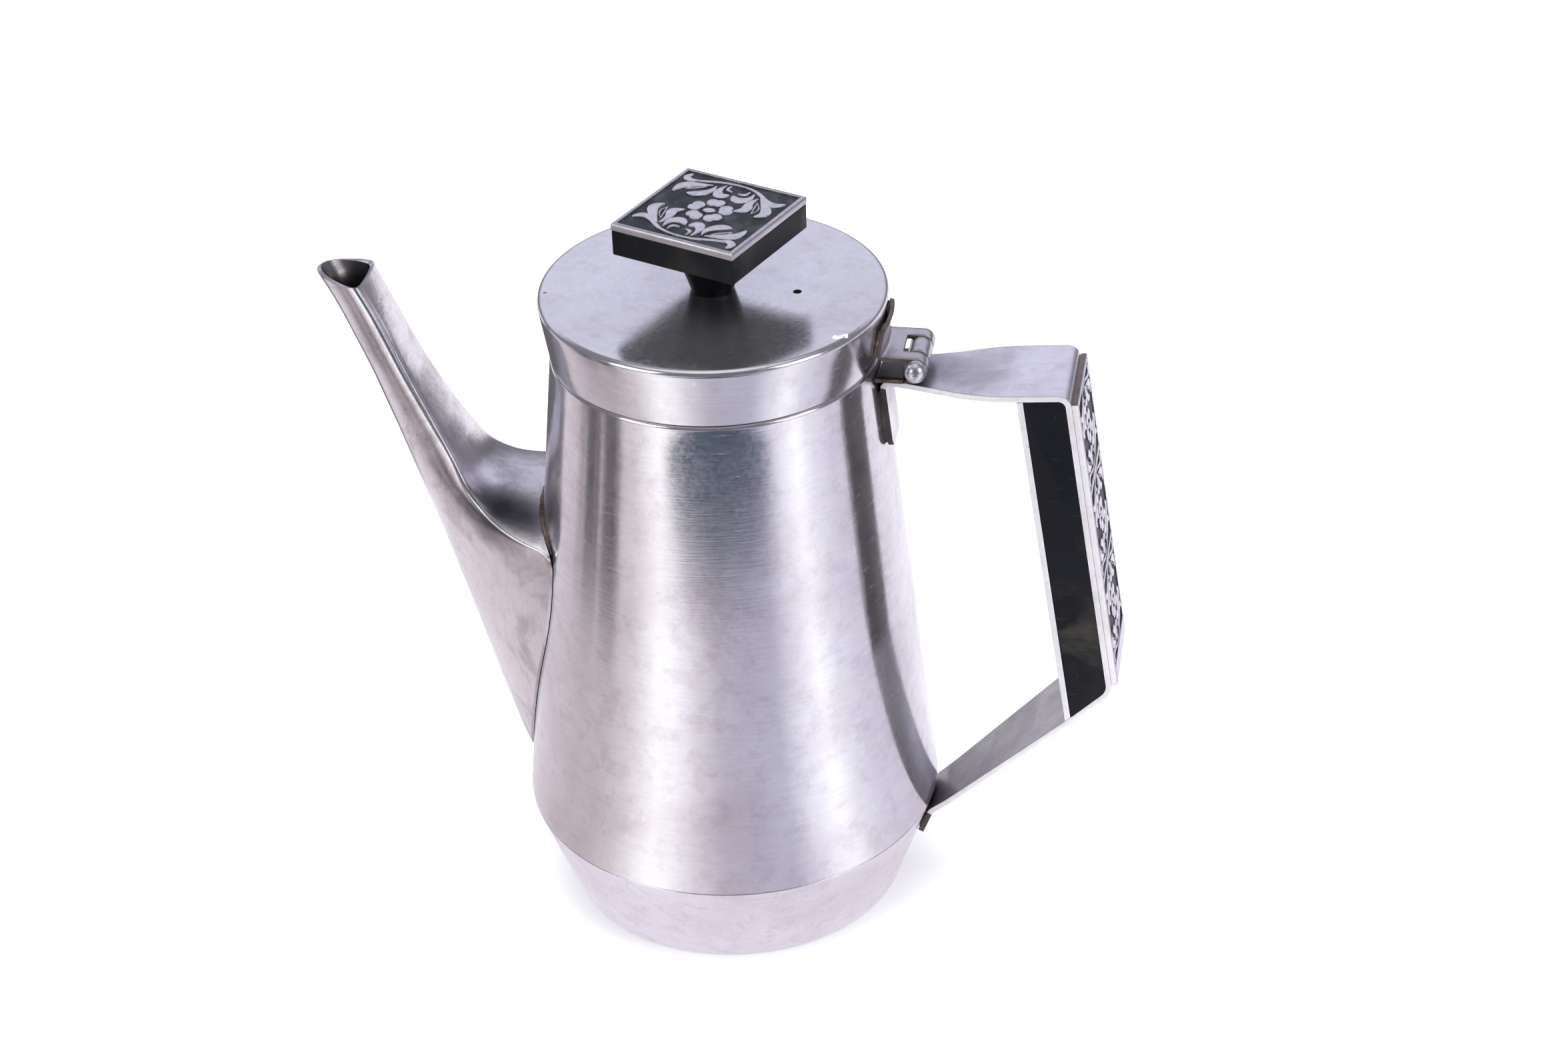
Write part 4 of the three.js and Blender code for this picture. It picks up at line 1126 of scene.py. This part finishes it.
# Strokes of one flowering spray along an edge of a -1 to 1 square: (route, half widths).
SPRAY = (
    (((-0.93, -0.70), (-0.80, -0.60), (-0.60, -0.68), (-0.36, -0.85), (-0.04, -0.93), (0.30, -0.91),
      (0.58, -0.82), (0.74, -0.79)), (0.025, 0.070, 0.050, 0.034, 0.026, 0.028, 0.032, 0.020)),
    (((0.70, -0.80), (0.82, -0.76), (0.92, -0.82), (0.90, -0.93)), (0.020, 0.055, 0.060, 0.030)),
    (((-0.50, -0.70), (-0.70, -0.50), (-0.82, -0.30), (-0.74, -0.14)), (0.012, 0.066, 0.086, 0.026)),
    (((-0.47, -0.68), (-0.44, -0.46), (-0.48, -0.28), (-0.36, -0.16)), (0.012, 0.062, 0.084, 0.024)),
    (((-0.53, -0.56), (-0.66, -0.37), (-0.63, -0.20)), (0.008, 0.014, 0.008)),
    (((-0.53, -0.56), (-0.58, -0.37), (-0.63, -0.20)), (0.008, 0.014, 0.008)),
    (((0.34, -0.76), (0.34, -0.56), (0.48, -0.40), (0.62, -0.36)), (0.012, 0.060, 0.080, 0.024)),
    (((0.40, -0.76), (0.62, -0.67), (0.82, -0.56), (0.87, -0.34)), (0.012, 0.062, 0.084, 0.026)),
    (((0.46, -0.67), (0.60, -0.55), (0.73, -0.47)), (0.008, 0.014, 0.008)),
    (((0.46, -0.67), (0.64, -0.61), (0.73, -0.47)), (0.008, 0.014, 0.008)),
    (((-0.34, -0.78), (-0.34, -0.58), (-0.21, -0.49), (-0.09, -0.56)), (0.012, 0.062, 0.088, 0.036)),
    (((0.20, -0.84), (0.22, -0.64), (0.13, -0.50), (0.02, -0.56)), (0.012, 0.058, 0.086, 0.036)),
    (((-0.24, -0.82), (-0.22, -0.70), (-0.12, -0.68)), (0.010, 0.032, 0.022)),
    (((0.12, -0.86), (0.12, -0.74), (0.03, -0.70)), (0.010, 0.030, 0.020)),
)
PETALS = 5
LEAF_BOLDNESS = 1.05


def relief_height(grid):
    """Share of full height, 0 to 1, of the flower and its two sprays over a -1 to 1 square."""
    shapes = [oval(grid, (0, 0), (0.105, 0.070), 0.3)]
    for route, widths in SPRAY:
        bold = [LEAF_BOLDNESS * width for width in widths]
        shapes.append(stroke(grid, route, bold))
        shapes.append(stroke(-grid, route, bold))
    for k in range(PETALS):
        middle = 0.45 + 2 * math.pi * k / PETALS
        for lobe in (middle - 0.2, middle + 0.2):
            centre = (0.265 * math.cos(lobe), 0.265 * math.sin(lobe))
            shapes.append(oval(grid, centre, (0.115, 0.10), lobe))
    distance = np.maximum.reduce(shapes)
    edge = np.clip(distance / 0.022 + 0.5, 0, 1)
    edge = edge * edge * (3 - 2 * edge)
    dome = np.clip(distance / 0.09, 0, 1) * 0.18
    return edge * (0.82 + dome)


def plate_surface(width, length, fields, step, sunk, rim, chamfer=0.3):
    """Heights below the top of a relief plate on a grid, and how raised each place is.

    fields are (low, high) pairs down the length, each a sunk square with its own flower."""
    us = np.arange(int(width / step) + 1) / int(width / step) * width - width / 2
    vs = np.arange(int(length / step) + 1) / int(length / step) * length
    u, v = np.meshgrid(us, vs)
    height = np.zeros_like(u)
    raised = np.ones_like(u)
    half = width / 2 - rim
    for low, high in fields:
        middle, reach = (low + high) / 2, (high - low) / 2
        inner = np.minimum(half - np.abs(u), reach - np.abs(v - middle))
        inside = inner > 0
        drop = np.clip(inner / 0.28, 0, 1)
        shape = np.zeros_like(u)
        if reach > 4:
            grid = np.stack([u[inside] / (half * 0.97), (v[inside] - middle) / (reach * 0.97)], axis=-1)
            shape[inside] = relief_height(grid)
        height = np.where(inside, -sunk * drop * (1 - shape), height)
        raised = np.where(inside, np.maximum(1 - drop * 1.25, shape), raised)
    edge = np.minimum(width / 2 - np.abs(u), np.minimum(v, length - v))
    height -= np.clip(chamfer - edge, 0, chamfer) * 0.8
    groove = np.exp(-((edge - rim * 0.62) / 0.13) ** 2) * (edge < rim)
    height -= groove * 0.12
    raised -= groove * 0.22
    return us, vs, height, raised


def relief_plate(name, width, length, fields, thick, place, body, node, step, side_steel):
    """Plate whose top carries the relief; place maps (across, down, up) to a point in millimetres."""
    us, vs, height, raised = plate_surface(width, length, fields, step, PLATE_SUNK, PLATE_RIM)
    rows, columns = height.shape
    points = [place(us[j], vs[i], height[i, j]) for i in range(rows) for j in range(columns)]
    faces = grid_faces(rows, columns)
    top_faces, start = len(faces), len(points)
    rim = [*range(columns - 1), *range(columns - 1, start - 1, columns)]
    rim += [*range(start - 1, start - columns, -1), *range(start - columns, 0, -columns)]
    points += [place(us[index % columns], vs[index // columns], -thick) for index in rim]
    count = len(rim)
    for k in range(count):
        n = (k + 1) % count
        faces.append((rim[k], rim[n], start + n, start + k))
    faces.append(tuple(range(start, start + count)))
    metals = [CAST, side_steel]
    piece = make_piece(name, points, faces, metals, body, (node,), sharp=55.0, merge=False)
    for index, face in enumerate(piece.data.polygons):
        face.material_index = int(index >= top_faces)
    levels = np.concatenate([raised.ravel(), np.full(count, 0.9)]).astype(np.float32)
    layer = piece.data.attributes.new("raised", "FLOAT", "POINT")
    layer.data.foreach_set("value", levels)
    return piece


def make_handle_plaque():
    """Relief plate with three square fields on the grip's outside."""
    start_down, end_down, *bars = (
        (GRIP_TOP.y - z) / -GRIP_RUN.y for z in (BEZEL_TOP_Z, BEZEL_BOTTOM_Z, *TILE_BAR_ZS)
    )
    top = STRAP / 2 + GAP + BEZEL
    fields = []
    low = PLATE_RIM
    for bar in bars:
        fields.append((low, bar - start_down - HALF_BAR))
        low = bar - start_down + HALF_BAR

    def place(across, down, up):
        point = grip_point(start_down + down, top + up)
        return (point.x, across, point.y)

    plate = relief_plate(
        "handle_relief", 2 * GRIP_HALF, end_down - start_down, fields, BEZEL + GAP - 0.05, place,
        "pot", "handle_plaque", 0.16, EDGE_STEEL,
    )
    # The plaque's ends get the burnt edge steel, which is also darkened as painted shade.
    plate.data.materials.append(BURNT_AND_SHADED_EDGE)
    end_run = Vector((GRIP_RUN.x, 0, GRIP_RUN.y))
    for face in plate.data.polygons:
        if face.material_index == 1 and abs(face.normal.dot(end_run)) > 0.7:
            face.material_index = 2


def make_knob_plaque():
    """Square relief plate on the knob."""
    def place(across, down, up):
        return on_knob(across, down - KNOB_SIDE / 2, KNOB_TOP_Z + up)

    relief_plate(
        "knob_relief", KNOB_SIDE, KNOB_SIDE, [(PLATE_RIM, KNOB_SIDE - PLATE_RIM)], KNOB_PLATE - 0.02, place,
        "lid", "knob_plaque", 0.11, HINGE_STEEL,
    )


# ---------------------------------------------------------------- lid


def make_lid():
    """Dished disc, rolled rim and flared skirt, with a vent."""
    low = SEAM_Z + GAP / 2
    top = [(r, lid_top_z(r)) for r in (2.3, 8, 14, 20, 26, 31, 35, 38, LID_R - LID_ROLL)]
    under = [(r, z - SHEET) for r, z in reversed(top)]
    edge_r = skirt_r(LID_RIM_Z - LID_EDGE)
    outer = [(30, LID_RIM_Z), (edge_r, LID_RIM_Z, LID_EDGE), (edge_r - 0.6, 165)]
    inner_r = edge_r - SHEET
    inner_z = LID_RIM_Z - SHEET
    inner = [(inner_r - 0.6, 165), (inner_r, inner_z, LID_EDGE - SHEET), (30, inner_z)]
    roll = [tuple(p) for p in fillet(outer, closed=False, step=5.0)[1:-1]]
    back = [tuple(p) for p in fillet(inner, closed=False, step=8.0)[1:-1]]
    profile = [*top, *roll, (skirt_r(low), low, 0.35), (skirt_r(low) - SHEET, low, 0.35), *back, *under]
    piece = turned("lid_cap", profile, [LID_STEEL, INSIDE_STEEL], "lid", ("lid_shell",), longest=4.0)
    cut_round_holes(piece, [((VENT_X, 0, LID_RIM_Z - 6), (VENT_X, 0, LID_RIM_Z + 2), VENT_R)])
    paint_faces(piece, 1, lambda at, n: n.z < -0.5 or (n.z < 0.5 and faces_axis(at, n)))


def make_collar():
    """Ring under the lid that centres it in the mouth."""
    shoulder = SEAM_Z + 1.6

    def inside(z):
        return skirt_r(z) - SHEET - 0.05

    profile = [
        (COLLAR_R, COLLAR_LOW_Z, 0.25),
        (COLLAR_R, shoulder, 0.8),
        (inside(shoulder + 1), shoulder + 1, 0.5),
        (inside(COLLAR_TOP_Z), COLLAR_TOP_Z, 0.2),
        (inside(COLLAR_TOP_Z) - COLLAR_SHEET, COLLAR_TOP_Z, 0.2),
        (inside(shoulder + 1) - COLLAR_SHEET, shoulder + 1.6, 0.5),
        (COLLAR_R - COLLAR_SHEET, shoulder + 0.6, 0.6),
        (COLLAR_R - COLLAR_SHEET, COLLAR_LOW_Z, 0.25),
    ]
    turned("collar", profile, [LID_STEEL], "lid", ("lid_collar",))


def on_knob(x, y, z):
    """A point of the knob, given as if its sides were square to X and Y."""
    c, s = math.cos(KNOB_TURN), math.sin(KNOB_TURN)
    return (c * x - s * y, s * x + c * y, z)


def make_knob():
    """Flared round stem and square block, one moulding in two meshes."""
    foot = lid_top_z(5.2) + 0.02
    stem = [(0, foot), (5.25, foot, 0.25), (5.4, 174.0), (6.1, 176.3), (7.2, 179.6), (8.6, 183.0)]
    stem += [(9.9, 185.2), (11.6, 186.12), (11.6, 186.6), (0, 186.6)]
    turned("knob_stem", stem, [BLACK], "lid", (), steps=96, longest=1.5, sharp=50.0)
    half = KNOB_SIDE / 2 - 0.02
    square = [Vector(corner) for corner in ((-half, -half), (half, -half), (half, half), (-half, half))]
    rim = refined(square, 4.0, closed=True)
    ends = [[on_knob(p.x, p.y, z) for p in rim] for z in (KNOB_BLOCK_Z, KNOB_TOP_Z - KNOB_PLATE)]
    prism("knob_block", ends, [BLACK], "lid", "knob_body", 0.32)


def make_knob_fixing():
    """Washer and screw that hold the knob from inside the lid."""
    under = LID_RIM_Z - LID_DISH - SHEET
    washer_top = under - 0.05
    washer_low = under - GAP - WASHER_THICK
    profile = [
        (WASHER_HOLE_R, washer_low, 0.1),
        (WASHER_R, washer_low, 0.3),
        (WASHER_R, washer_top, 0.2),
        (WASHER_HOLE_R, washer_top, 0.1),
    ]
    turned("washer", profile, [HINGE_STEEL], "lid", ("knob_washer",), steps=64, longest=2.0)
    head = washer_low - 0.05
    profile = [
        (0, head - KNOB_SCREW_HEAD),
        (2.6, head - KNOB_SCREW_HEAD, 0.6),
        (KNOB_SCREW_HEAD_R, head - 1.2, 0.5),
        (KNOB_SCREW_HEAD_R, head, 0.15),
        (KNOB_SCREW_R, head),
        (KNOB_SCREW_R, KNOB_SCREW_TIP_Z - 0.3, 0.2),
        (0, KNOB_SCREW_TIP_Z),
    ]
    turned("screw", profile, [HINGE_STEEL], "lid", ("knob_screw",), steps=48, longest=2.0)


# ---------------------------------------------------------------- hinge


def knuckle_arc(from_degrees, to_degrees):
    """Points of a leaf's middle line, rolled round the pin."""
    radius = KNUCKLE_R - LEAF / 2
    steps = max(2, int(abs(to_degrees - from_degrees) / 9))
    angles = np.radians(np.linspace(from_degrees, to_degrees, steps + 1))
    return [Vector((PIN_X + radius * math.cos(a), PIN_Z + radius * math.sin(a))) for a in angles]


def both_sides(*widths):
    """The widths on both sides of zero, and zero."""
    return [-width for width in reversed(widths)] + [0.0, *widths]


def within(ys, j, reach):
    """Whether the strip between columns j and j + 1 lies within a reach of the middle."""
    return max(-ys[j], ys[j + 1]) <= reach + 0.01


def make_upper_leaf():
    """Flange on the lid's skirt, a tongue with a slot in it, and two knuckles."""
    off = 0.1 + LEAF / 2
    tongue_z = PIN_Z + KNUCKLE_R - LEAF / 2
    bend = [
        (skirt_r(FLANGE_TOP_Z) + off + 0.35, FLANGE_TOP_Z),
        (skirt_r(FLANGE_TOP_Z - 1.2) + off, FLANGE_TOP_Z - 1.6, 3.0),
        (skirt_r(tongue_z + 1) + off, tongue_z, 1.5),
        (SLOT_X, tongue_z),
    ]
    root = refined(fillet(bend, closed=False, step=9.0), 1.0)
    line = root + refined([Vector((SLOT_X, tongue_z)), Vector((PIN_X, tongue_z))], 1.0)[1:]
    line += knuckle_arc(90, -228)[1:]
    ys = both_sides(2.0, FINGER_IN, 5.3, 6.6, LEAF_HALF)
    slot_row = len(root) - 1
    weights = [float(np.interp(p.x, (44.5, SLOT_X), (1, 0))) for p in line]

    def shift(i, y):
        return hug(skirt_r(line[i].y), y) * weights[i] if i < slot_row else 0.0

    def keep(i, j):
        return i < slot_row or not within(ys, j, FINGER_IN)

    leaf = bent_sheet(
        "lid_leaf", line, lambda i: ys, [HINGE_STEEL, BURNT_AND_SHADED_EDGE], "lid", ("hinge_upper_leaf",),
        LEAF, shift, 0.16, keep,
    )
    # The flange's edges and its face against the skirt get the burnt edge steel, darkened as painted shade.
    paint_faces(leaf, 1, lambda at, n: n.x < -0.5 and at.x < SLOT_X)


def make_lower_leaf():
    """Plate on the strap with the middle knuckle."""
    plate_z = LEAF_Z + LEAF / 2
    neck = wall_r(LEAF_Z) + GAP
    flat = refined([Vector((neck, plate_z)), Vector((SLOT_X + 0.4, plate_z))], 0.6)
    knuckle = knuckle_arc(-80, 225)
    rise = fillet([flat[-1], (PIN_X - 1.6, plate_z + 0.35, 2.0), knuckle[0]], closed=False)
    line = flat + refined(rise, 0.8)[1:] + knuckle[1:]
    ys = both_sides(2.0, KNUCKLE_HALF, 5.0, 6.5, LEAF_HALF)
    last_flat = len(flat) - 1

    def shift(i, y):
        return hug(neck, y) * max(0.0, 1 - i / last_flat)

    def keep(i, j):
        return i < last_flat or within(ys, j, KNUCKLE_HALF)

    leaf = bent_sheet(
        "pot_leaf", line, lambda i: ys, [HINGE_STEEL, BRAZE], "pot", ("hinge_lower_leaf",),
        LEAF, shift, 0.16, keep,
    )
    # Painted shade: the plate's flat faces under the lid get the near-black steel.
    leaf.data.materials.append(SHADED_STEEL)
    paint_faces(leaf, 2, lambda at, n: abs(n.z) > 0.5 and at.x < PIN_X - 2.5)


def pin_end(head_r, end):
    """Outline of one ball-shaped end of the pin, from its tip inward; end is -1 or 1 along the pin."""
    back = LEAF_HALF + 0.12
    centre = back + 0.6 * head_r / PIN_HEAD_R
    cut = math.degrees(math.asin((centre - back) / head_r))
    outline = [(0, end * (centre + head_r))]
    for angle in np.radians(np.linspace(-90, cut, 22)[1:]):
        outline.append((head_r * math.cos(angle), end * (centre - head_r * math.sin(angle))))
    outline.append((PIN_R + 0.05, end * back))
    return outline


def make_pin():
    """Pin along Y with a ball-shaped head at each end."""
    profile = pin_end(PIN_HEAD_R, -1) + pin_end(PIN_FAR_HEAD_R, 1)[::-1]
    piece = turned(
        "pin", profile, [PIN_STEEL], "pot", ("hinge_pin",), steps=64, longest=4.0, sharp=50.0,
    )
    turn = Matrix.Translation(Vector((PIN_X, 0, PIN_Z)) * MM) @ Matrix.Rotation(-math.pi / 2, 4, "X")
    piece.data.transform(turn)


# ---------------------------------------------------------------- braze and solder


def bead(name, route, radius, body, seed, metal):
    """Lumpy bead of filler metal along a route of points."""
    rng = np.random.default_rng(seed)
    route = np.asarray(route, float)
    run = np.gradient(route, axis=0)
    run /= np.linalg.norm(run, axis=1)[:, None]
    steps = 12
    points = []
    swell = np.convolve(rng.uniform(0.55, 1.25, len(route) + 4), np.ones(5) / 5, "valid")
    for i, (point, along) in enumerate(zip(route, run)):
        side = np.cross(along, (0, 0, 1)) if abs(along[2]) < 0.9 else np.cross(along, (0, 1, 0))
        side /= np.linalg.norm(side)
        other = np.cross(along, side)
        taper = math.sin(math.pi * min(1, max(0.02, (i + 0.5) / len(route)))) ** 0.35
        for k in range(steps):
            angle = 2 * math.pi * k / steps
            r = radius * swell[i] * taper * (1 + 0.18 * rng.uniform(-1, 1))
            points.append(point + r * (math.cos(angle) * side + math.sin(angle) * other))
    faces = grid_faces(len(route), steps, 0, True)
    faces.append(tuple(range(steps)))
    last = (len(route) - 1) * steps
    faces.append(tuple(range(last + steps - 1, last - 1, -1)))
    make_piece(name, points, faces, [metal], body, (), sharp=80.0, merge=False)


BEAD_Y = 5.2


def upright_bead(name, radius_at, y, zs, off, radius, body, seed, metal=BRAZE):
    """Bead down a round wall at one y; zs is its (low, high, count) of heights and off its lift."""
    route = [(math.sqrt(radius_at(z) ** 2 - y * y) + off, y, z) for z in np.linspace(*zs)]
    bead(name, route, radius, body, seed, metal)


def make_joints(spout_outer):
    """Filler metal where the spout, the strap and the hinge leaf meet the pot. The beads by the tab are made
    dark and thick as painted shade, and the beads along the hinge leaf are painted shadow between the flange
    and the lid's skirt.
    """
    top = SPOUT_BACK_STEPS - 1
    route = spout_outer[-1][np.arange(-top, top + 1)]
    route[:, 2] += 0.15
    route[:, :2] *= 1 - 0.55 / np.hypot(route[:, 0], route[:, 1])[:, None]
    at = np.linspace(0, len(route) - 1, 90)
    route = np.stack([np.interp(at, range(len(route)), values) for values in route.T], axis=1)
    bead("spout_braze", route, 0.8, "pot", SEED, BRAZE)
    tab_zs = (TAB_BOTTOM_Z + 1.0, TAB_TOP_Z - 2.6, 40)
    foot_zs = (FOOT_TIP_Z + 0.8, ARM_FOOT.y - 2.6, 20)
    for side, end, seed in ((-1, "near", SEED + 1), (1, "far", SEED + 2)):
        y = side * BEAD_Y
        # Painted shade: thick dark beads by the tab stand for the braze and the shaded groove between the tab
        # and the wall.
        upright_bead(f"tab_braze_and_shade_{end}", wall_r, y, tab_zs, 0.25, 0.72, "pot", seed, SOOT_AND_SHADE_EDGE)
        leaf_y = side * (LEAF_HALF - 0.1)
        # Painted shadow: beads along the flange's edges stand for the shadow between the flange and the lid's
        # skirt.
        upright_bead(f"leaf_shadow_bead_{end}", skirt_r, leaf_y, (161.4, 168.2, 16), 0.15, 0.45, "lid", seed + 9)
        upright_bead(f"foot_braze_{end}", wall_r, y, foot_zs, 0.3, 0.4, "pot", seed + 5)


# ---------------------------------------------------------------- assembly

make_camera()

bpy.context.scene.view_settings.view_transform = "Standard"

make_body()
make_base()
spout_skin = make_spout()
make_strap()
make_grip()
make_grip_screw("grip_screw_top", "grip_screw_upper", SCREW_STATIONS[0])
make_grip_screw("grip_screw_low", "grip_screw_lower", SCREW_STATIONS[1])
make_handle_plaque()
make_lower_leaf()
make_pin()
make_joints(spout_skin)
make_lid()
make_collar()
make_knob()
make_knob_plaque()
make_knob_fixing()
make_upper_leaf()

# ---------------------------------------------------------------- studio

# Glow of the tabletop round the pot as the steel reflects it: (azimuth from the camera in
# degrees, red, green, blue). The two bright lobes lie in front of the two lamps.
TABLE_GLOW = (
    (-180, 0.95, 0.93, 1.00),
    (-138, 0.98, 0.96, 1.02),
    (-108, 0.80, 0.72, 0.78),
    (-84, 0.66, 0.58, 0.62),
    (-68, 0.68, 0.60, 0.64),
    (-54, 0.86, 0.80, 0.83),
    (-37, 1.45, 1.43, 1.46),
    (-28, 1.34, 1.32, 1.36),
    (-17, 0.95, 0.90, 0.98),
    (-6, 0.66, 0.61, 0.72),
    (12, 0.60, 0.58, 0.70),
    (25, 0.64, 0.62, 0.78),
    (36, 1.08, 1.07, 1.20),
    (49, 1.46, 1.46, 1.56),
    (60, 1.06, 1.05, 1.16),
    (74, 0.84, 0.80, 0.95),
    (92, 0.80, 0.74, 0.88),
    (128, 1.12, 1.09, 1.20),
    (180, 0.95, 0.93, 1.00),
)
# Where the table's dark parts lie, in metres from the pot's middle: the near edge and half width of
# the one in front of the camera, and the start of the one behind the pot.
DARK_EDGE = 0.372
DARK_HALF = 0.262
FAR_TABLE = 1.35
# Azimuths between which the streaks at the left lie, and where the dark card behind the spout ends.
STREAK_FROM = math.radians(-97)
STREAK_TO = math.radians(-64)
FLANK_TO = math.radians(-124)
FLOOR_HALF = 6.0
GLOW_R = 9.0
GLOW_LIFT = 0.00002
# Name, place and aim in metres, size, power in watts, and whether the steel mirrors the lamp.
LAMPS = (
    ("overhead", (0.1, 0.0, 1.9), (0, 0, 0), (2.2, 2.2), 64.0, False),
    ("key_left", (-1.0, -1.1, 0.9), (0, 0, 0.08), (0.8, 0.9), 6.0, True),
    ("key_right", (1.25, -0.55, 0.9), (0, 0, 0.08), (0.7, 0.9), 6.0, True),
)


def stage_sheet(name, outline, material):
    """One flat face that is no part of the object, from points in metres."""
    mesh = bpy.data.meshes.new(name)
    mesh.from_pydata(outline, [], [tuple(range(len(outline)))])
    mesh.materials.append(material)
    sheet = new_object(name, mesh)
    return sheet


def table_glow():
    """Emission of the reflected tabletop: lobes by azimuth, a dark part in front and a dark far side."""
    material, g, place = new_graph("table_glow")
    forward = g.vector("DOT_PRODUCT", place, (math.sin(VIEW_YAW), -math.cos(VIEW_YAW), 0))
    side = g.vector("DOT_PRODUCT", place, (math.cos(VIEW_YAW), math.sin(VIEW_YAW), 0))
    azimuth = g.math("ARCTAN2", side, forward)
    ramp = g.add("ShaderNodeValToRGB", {0: g.span(azimuth, -math.pi, math.pi)})
    stops = ramp.color_ramp.elements
    for degrees, *_ in TABLE_GLOW[1:-1]:
        stops.new((degrees + 180) / 360)
    for stop, (_, *glow) in zip(stops, TABLE_GLOW):
        stop.color = (*glow, 1)
    off_middle = g.math("ABSOLUTE", side)
    dark = g.times(
        g.span(forward, DARK_EDGE - 0.02, DARK_EDGE + 0.015),
        g.span(off_middle, DARK_HALF + 0.03, DARK_HALF - 0.03),
    )
    step = g.times(
        g.span(forward, DARK_EDGE - 0.06, DARK_EDGE - 0.04),
        g.span(off_middle, DARK_HALF - 0.03, DARK_HALF - 0.12),
    )
    colour = g.mix(g.times(step, 0.5), ramp.outputs[0], (0.12, 0.13, 0.19))
    colour = g.mix(dark, colour, (0.040, 0.075, 0.12))
    behind = g.span(forward, -FAR_TABLE + 0.03, -FAR_TABLE - 0.04)
    colour = g.mix(behind, colour, (0.09, 0.09, 0.11))
    away = g.vector("LENGTH", place)
    streak = g.times(
        g.span(azimuth, STREAK_FROM - 0.05, STREAK_FROM + 0.05),
        g.span(azimuth, STREAK_TO + 0.04, STREAK_TO - 0.04),
    )
    line_place = g.add("ShaderNodeCombineXYZ", {0: g.times(azimuth, 7.0)}).outputs[0]
    streak = g.times(streak, g.span(g.noise(line_place, 1.0, 2.0, 0.6), 0.62, 0.50, 0.25, 1.0))
    streak = g.times(streak, g.span(away, 0.21, 0.31))
    colour = g.mix(streak, colour, (0.12, 0.105, 0.12))
    flank = g.times(g.span(azimuth, FLANK_TO + 0.1, FLANK_TO - 0.1), g.span(away, 0.20, 0.25))
    flank = g.times(flank, g.span(away, 0.42, 0.36))
    colour = g.mix(flank, colour, (0.13, 0.125, 0.14))
    foot = g.span(away, 0.085, 0.062)
    colour = g.mix(foot, colour, (0.92, 0.86, 0.96))
    glow = g.add("ShaderNodeEmission", {0: colour, 1: 1.0})
    g.add("ShaderNodeOutputMaterial", {"Surface": glow.outputs[0]})
    return material


def make_table():
    """The floor, and just over it what the steel sees of the table: a disc that only reflections show."""
    corners = [(x * FLOOR_HALF, y * FLOOR_HALF, 0) for x, y in ((-1, -1), (1, -1), (1, 1), (-1, 1))]
    stage_sheet("floor", corners, floor_white())
    turns = [2 * math.pi * k / 64 for k in range(64)]
    rim = [(GLOW_R * math.cos(turn), GLOW_R * math.sin(turn), GLOW_LIFT) for turn in turns]
    disc = stage_sheet("table_reflection", rim, table_glow())
    disc.visible_camera = False
    disc.visible_diffuse = False
    disc.visible_shadow = False
    disc.visible_transmission = False


def make_world():
    """Pale studio surround: dark low down behind the pot and in front of it, between the lamps."""
    world = bpy.data.worlds.new("studio")
    bpy.context.scene.world = world
    world.use_nodes = True
    g = Graph(world.node_tree)
    towards = g.add("ShaderNodeTexCoord").outputs["Generated"]
    front = g.vector("DOT_PRODUCT", towards, (math.sin(VIEW_YAW), -math.cos(VIEW_YAW), 0))
    height = g.height(towards)
    sides = g.mix(g.span(front, -0.2, 0.6), (0.22, 0.21, 0.25), (0.16, 0.16, 0.20))
    wall = g.times(g.span(front, -0.35, -0.6), g.span(height, 0.14, 0.40))
    wall = g.times(wall, g.span(height, 0.70, 0.62))
    colour = g.mix(wall, sides, (0.84, 0.84, 1.02))
    colour = g.mix(g.span(height, 0.84, 0.95), colour, (1.0, 1.0, 1.04))
    background = g.add("ShaderNodeBackground", {0: colour, 1: 1.0})
    g.add("ShaderNodeOutputWorld", {0: background.outputs[0]})


make_table()
make_world()
for lamp in LAMPS:
    area_light(*lamp)
